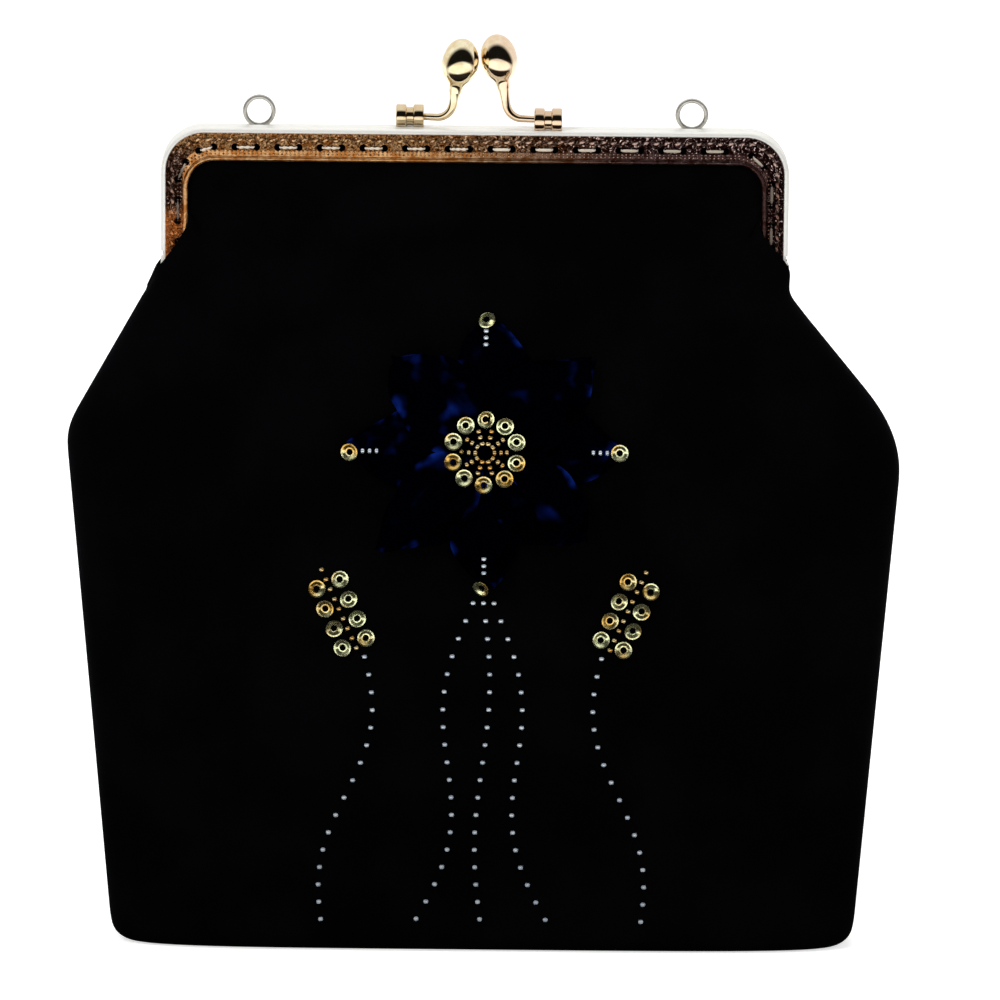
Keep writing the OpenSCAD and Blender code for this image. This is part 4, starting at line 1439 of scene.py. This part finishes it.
# The satin button that the flower's middle is sewn to.
BUTTON_RINGS = ((0.1, 6.4), (0.8, 6.4), (1.5, 6.0), (2.1, 5.0), (2.45, 3.6), (2.6, 2.0), (2.65, 0.4))
BUTTON_PLEATS = 9
hit, normal = on_cloth(front_tree, 0, FLOWER_Z)


def pleated(point):
    around = point - hit
    pleat = math.cos(BUTTON_PLEATS * math.atan2(around.z, around.x))
    return point + normal * 0.14 * MM * pleat * min(1, around.length / (3 * MM))


flower_button = reshaped(turned("satin_button", hit / MM, normal, BUTTON_RINGS, 54), pleated)
flower_tree = tree_of(front_velvet, flower_button, *petals)

sequin, bead = sequin_pattern(), bead_pattern()
TENTH, QUARTER = math.radians(36), math.radians(90)
SEQUIN_LIFT = 0.3
BEAD_LIFT = 0.6


def lean(k, most):
    """A small lean that differs from one sequin to the next."""
    return math.radians(most) * math.sin(k * 2.39 + 0.7)


# The flower's rings of sequins and beads, and how far round a sequin the satin is felt for.
RING_R = 9.5
BEAD_ROWS = (2.7, 4.5, 6.3)
RING_REACH, TIP_REACH = 2.2, 2.0

flower_sequins = copies("flower_sequin_ring", sequin, [
    flower_place(
        RING_R, k * TENTH, SEQUIN_LIFT, lean(k, 90), math.radians(6) + lean(k, 6), lean(k + 5, 7), RING_REACH
    ) for k in range(10)
])
flower_beads = copies("flower_bead_rows", bead, [
    flower_place(radius, (k + 0.5) * TENTH, BEAD_LIFT, QUARTER) for k in range(10) for radius in BEAD_ROWS
])
tip_sequins = copies("tip_sequins", sequin, [
    flower_place(FLOWER_R - 1.5, k * QUARTER, SEQUIN_LIFT, lean(k, 90), lean(k, 8), lean(k + 2, 8), TIP_REACH)
    for k in range(4)
])
tip_beads = copies("tip_beads", bead, [
    flower_place(FLOWER_R - 1 - down, k * QUARTER, BEAD_LIFT, QUARTER) for k in range(4) for down in (4, 6, 8)
])
spray_places, spray_bead_places = [], []
for side in (-1, 1):
    for i in range(4):
        for leaf in (-1, 1):
            x, z = spray_point(side, i, leaf)
            k = len(spray_places)
            spray_places.append(
                laid(front_tree, x, z, SEQUIN_LIFT + 0.2, lean(k, 90), lean(k, 13), -leaf * math.radians(9))
            )
    for i in range(9):
        x, z = spray_point(side, i / 2 - 0.25, 0)
        spray_bead_places.append(laid(front_tree, x, z, BEAD_R + 0.1, QUARTER - side * SPRAY_LEAN))
spray_sequins = copies("spray_sequin_leaves", sequin, spray_places)
spray_beads = copies("spray_bead_row", bead, spray_bead_places)
stem_places = []
for stem in STEMS:
    z = stem[2]
    while z >= STEM_BOTTOM - 1e-6:
        stem_places.append(laid(front_tree, stem_x(stem, z), z, BEAD_R - 0.05, QUARTER))
        z -= STEM_PITCH
stem_beads = copies("stem_bead_lines", bead, stem_places)
remove(sequin, bead)


# ---------------------------------------------------------------- finishes of the pieces, and what they ride on

for piece, material, slot, node in (
    (flower_sequins, SEQUIN_FINISH, "sequin_gold", "flower_sequins"),
    (flower_beads, GOLD_BEADS, "gold_beads", "flower_beads"),
    (tip_sequins, SEQUIN_FINISH, "sequin_gold", "petal_tip_sequins"),
    (tip_beads, SILVER_BEADS, "silver_beads", "petal_tip_beads"),
    (spray_sequins, SEQUIN_FINISH, "sequin_gold", "spray_sequins"),
    (spray_beads, GOLD_BEADS, "gold_beads", "spray_beads"),
    (stem_beads, SILVER_BEADS, "silver_beads", "stem_beads"),
    (flower_button, SATIN_FINISH, "petal_satin", "flower_button"),
):
    coat(piece, material)
    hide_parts(node)
    if node.startswith("petal_tip"):
        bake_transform(piece)
    else:
        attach(piece, "bag")

for number, piece in enumerate(petals, 1):
    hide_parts(f"petal_{number}")
    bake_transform(piece)

for half, velvet, padding, lining, scroll, stitches in (
    ("front", front_velvet, front_padding, front_lining_cloth, front_scrollwork, front_stitching),
    ("rear", rear_velvet, rear_padding, rear_lining_cloth, rear_scrollwork, rear_stitching),
):
    body = f"{half}_half"
    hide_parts(f"{half}_panel", f"{half}_panel_top")
    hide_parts(f"{half}_fleece")
    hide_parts(f"{half}_lining", f"{half}_lining_top")
    for piece in (velvet, padding, lining):
        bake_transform(piece)
    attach(scroll, body)
    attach(stitches, body)
    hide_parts(f"{half}_frame_stitching")
    coat_node(f"{half}_frame", FRAME_FINISH)

for name in ("hinge_rivet_left", "hinge_rivet_right"):
    coat_node(name, FRAME_FINISH)
for name in ("chain_ring_left", "chain_ring_right"):
    coat_node(name, RING_FINISH)


# ---------------------------------------------------------------- floor and light

SOFT_LIGHT = 0.45


def add_floor():
    deselect()
    bpy.ops.mesh.primitive_plane_add(size=14, location=(0, 0, 0))
    floor = named("floor")
    floor.data.materials.append(floor_finish())


def add_lamp(name, place, size, power):
    lamp = bpy.data.lights.new(name, "AREA")
    lamp.shape = "DISK"
    lamp.size = size
    lamp.energy = power
    light = linked(bpy.data.objects.new(name, lamp))
    light.location = place
    light.visible_glossy = False
    aim = Vector((0, 0, 0.14)) - Vector(place)
    light.rotation_euler = aim.to_track_quat("-Z", "Y").to_euler()


def add_sky():
    """White where it is seen, a plain soft light on everything else, and the studio for mirrored rays."""
    sky = bpy.data.worlds.new("sky")
    sky.use_nodes = True
    bpy.context.scene.world = sky
    finish = Sky(sky)
    x, y, z = finish.node("ShaderNodeTexCoord", output="Generated").axes()
    mirrored = 1 - room_dark(x, y, z) * (1 - ROOM_GREY)
    strength = finish.number(finish.ray("Glossy"), SOFT_LIGHT, mirrored)
    strength = finish.number(finish.ray("Camera").higher(finish.ray("Transmission")), strength, 1.0)
    light = finish.node("ShaderNodeBackground", sockets={"Color": (1, 1, 1), "Strength": strength})
    finish.feed(finish.surface, light)


add_floor()
add_lamp("key", (-1.1, -1.3, 1.5), 0.8, 22)
add_lamp("fill", (1.3, -1.1, 0.9), 0.8, 7)
add_lamp("back", (0.2, 1.3, 1.5), 0.9, 14)
add_sky()
bpy.context.scene.view_settings.view_transform = "Standard"


# ---------------------------------------------------------------- where the pieces of the image points show

def shown(piece):
    """Where the vertices of a piece show in the picture."""
    return [in_picture(piece.matrix_world @ v.co) for v in piece.data.vertices]


def middle(piece):
    xs, ys = zip(*shown(piece))
    return (min(xs) + max(xs)) / 2, (min(ys) + max(ys)) / 2


def on_edge(places, name, pick_x, reach):
    """The leftmost or rightmost of some places near an image point's height."""
    height = POINTS[name][1]
    return pick_x(x for x, y in places if abs(y - height) < reach), height


def check_points():
    """Where each thing named by an image point shows in the picture."""
    cloth = shown(front_velvet) + shown(rear_velvet)
    metal = shown(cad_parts["front_frame"])
    balls = {half: bpy.data.objects[f"{half}_clasp_ball"] for half in ("front", "rear")}
    found = {
        "object_left": min(cloth),
        "object_right": max(cloth),
        "object_top": min(shown(balls["front"]) + shown(balls["rear"]), key=lambda p: p[1]),
        "object_bottom": (POINTS["object_bottom"][0], max(y for x, y in cloth)),
        "frame_left": on_edge(metal, "frame_left", min, 35),
        "frame_right": on_edge(metal, "frame_right", max, 35),
        "ring_left": middle(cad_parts["chain_ring_left"]),
        "ring_right": middle(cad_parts["chain_ring_right"]),
        "foot_right": middle(bpy.data.objects["front_clasp_foot"]),
        "ball_left": middle(balls["rear"]),
        "ball_right": middle(balls["front"]),
        "side_left": on_edge(cloth, "side_left", min, 10),
        "side_right": on_edge(cloth, "side_right", max, 10),
        "milgrain": (POINTS["milgrain"][0], in_picture(seen_place("milgrain", face_tree))[1]),
    }
    for name, hole in (("second_top_hole", LEG_HOLES + 3), ("last_top_hole_but_one", -LEG_HOLES - 4)):
        x, z = HOLES[hole]
        found[name] = in_picture(mm(FRAME_X + x, -FACE_DEPTH, z))
    for side, key in ((-1, "left"), (1, "right")):
        for index, end in ((3, "outer"), (5, "inner")):
            point = EDGES[side][index]
            found[f"fold_{key}_{end}"] = in_picture(mm(FRAME_X + side * point.x, -point.y, point.z))


check_points()
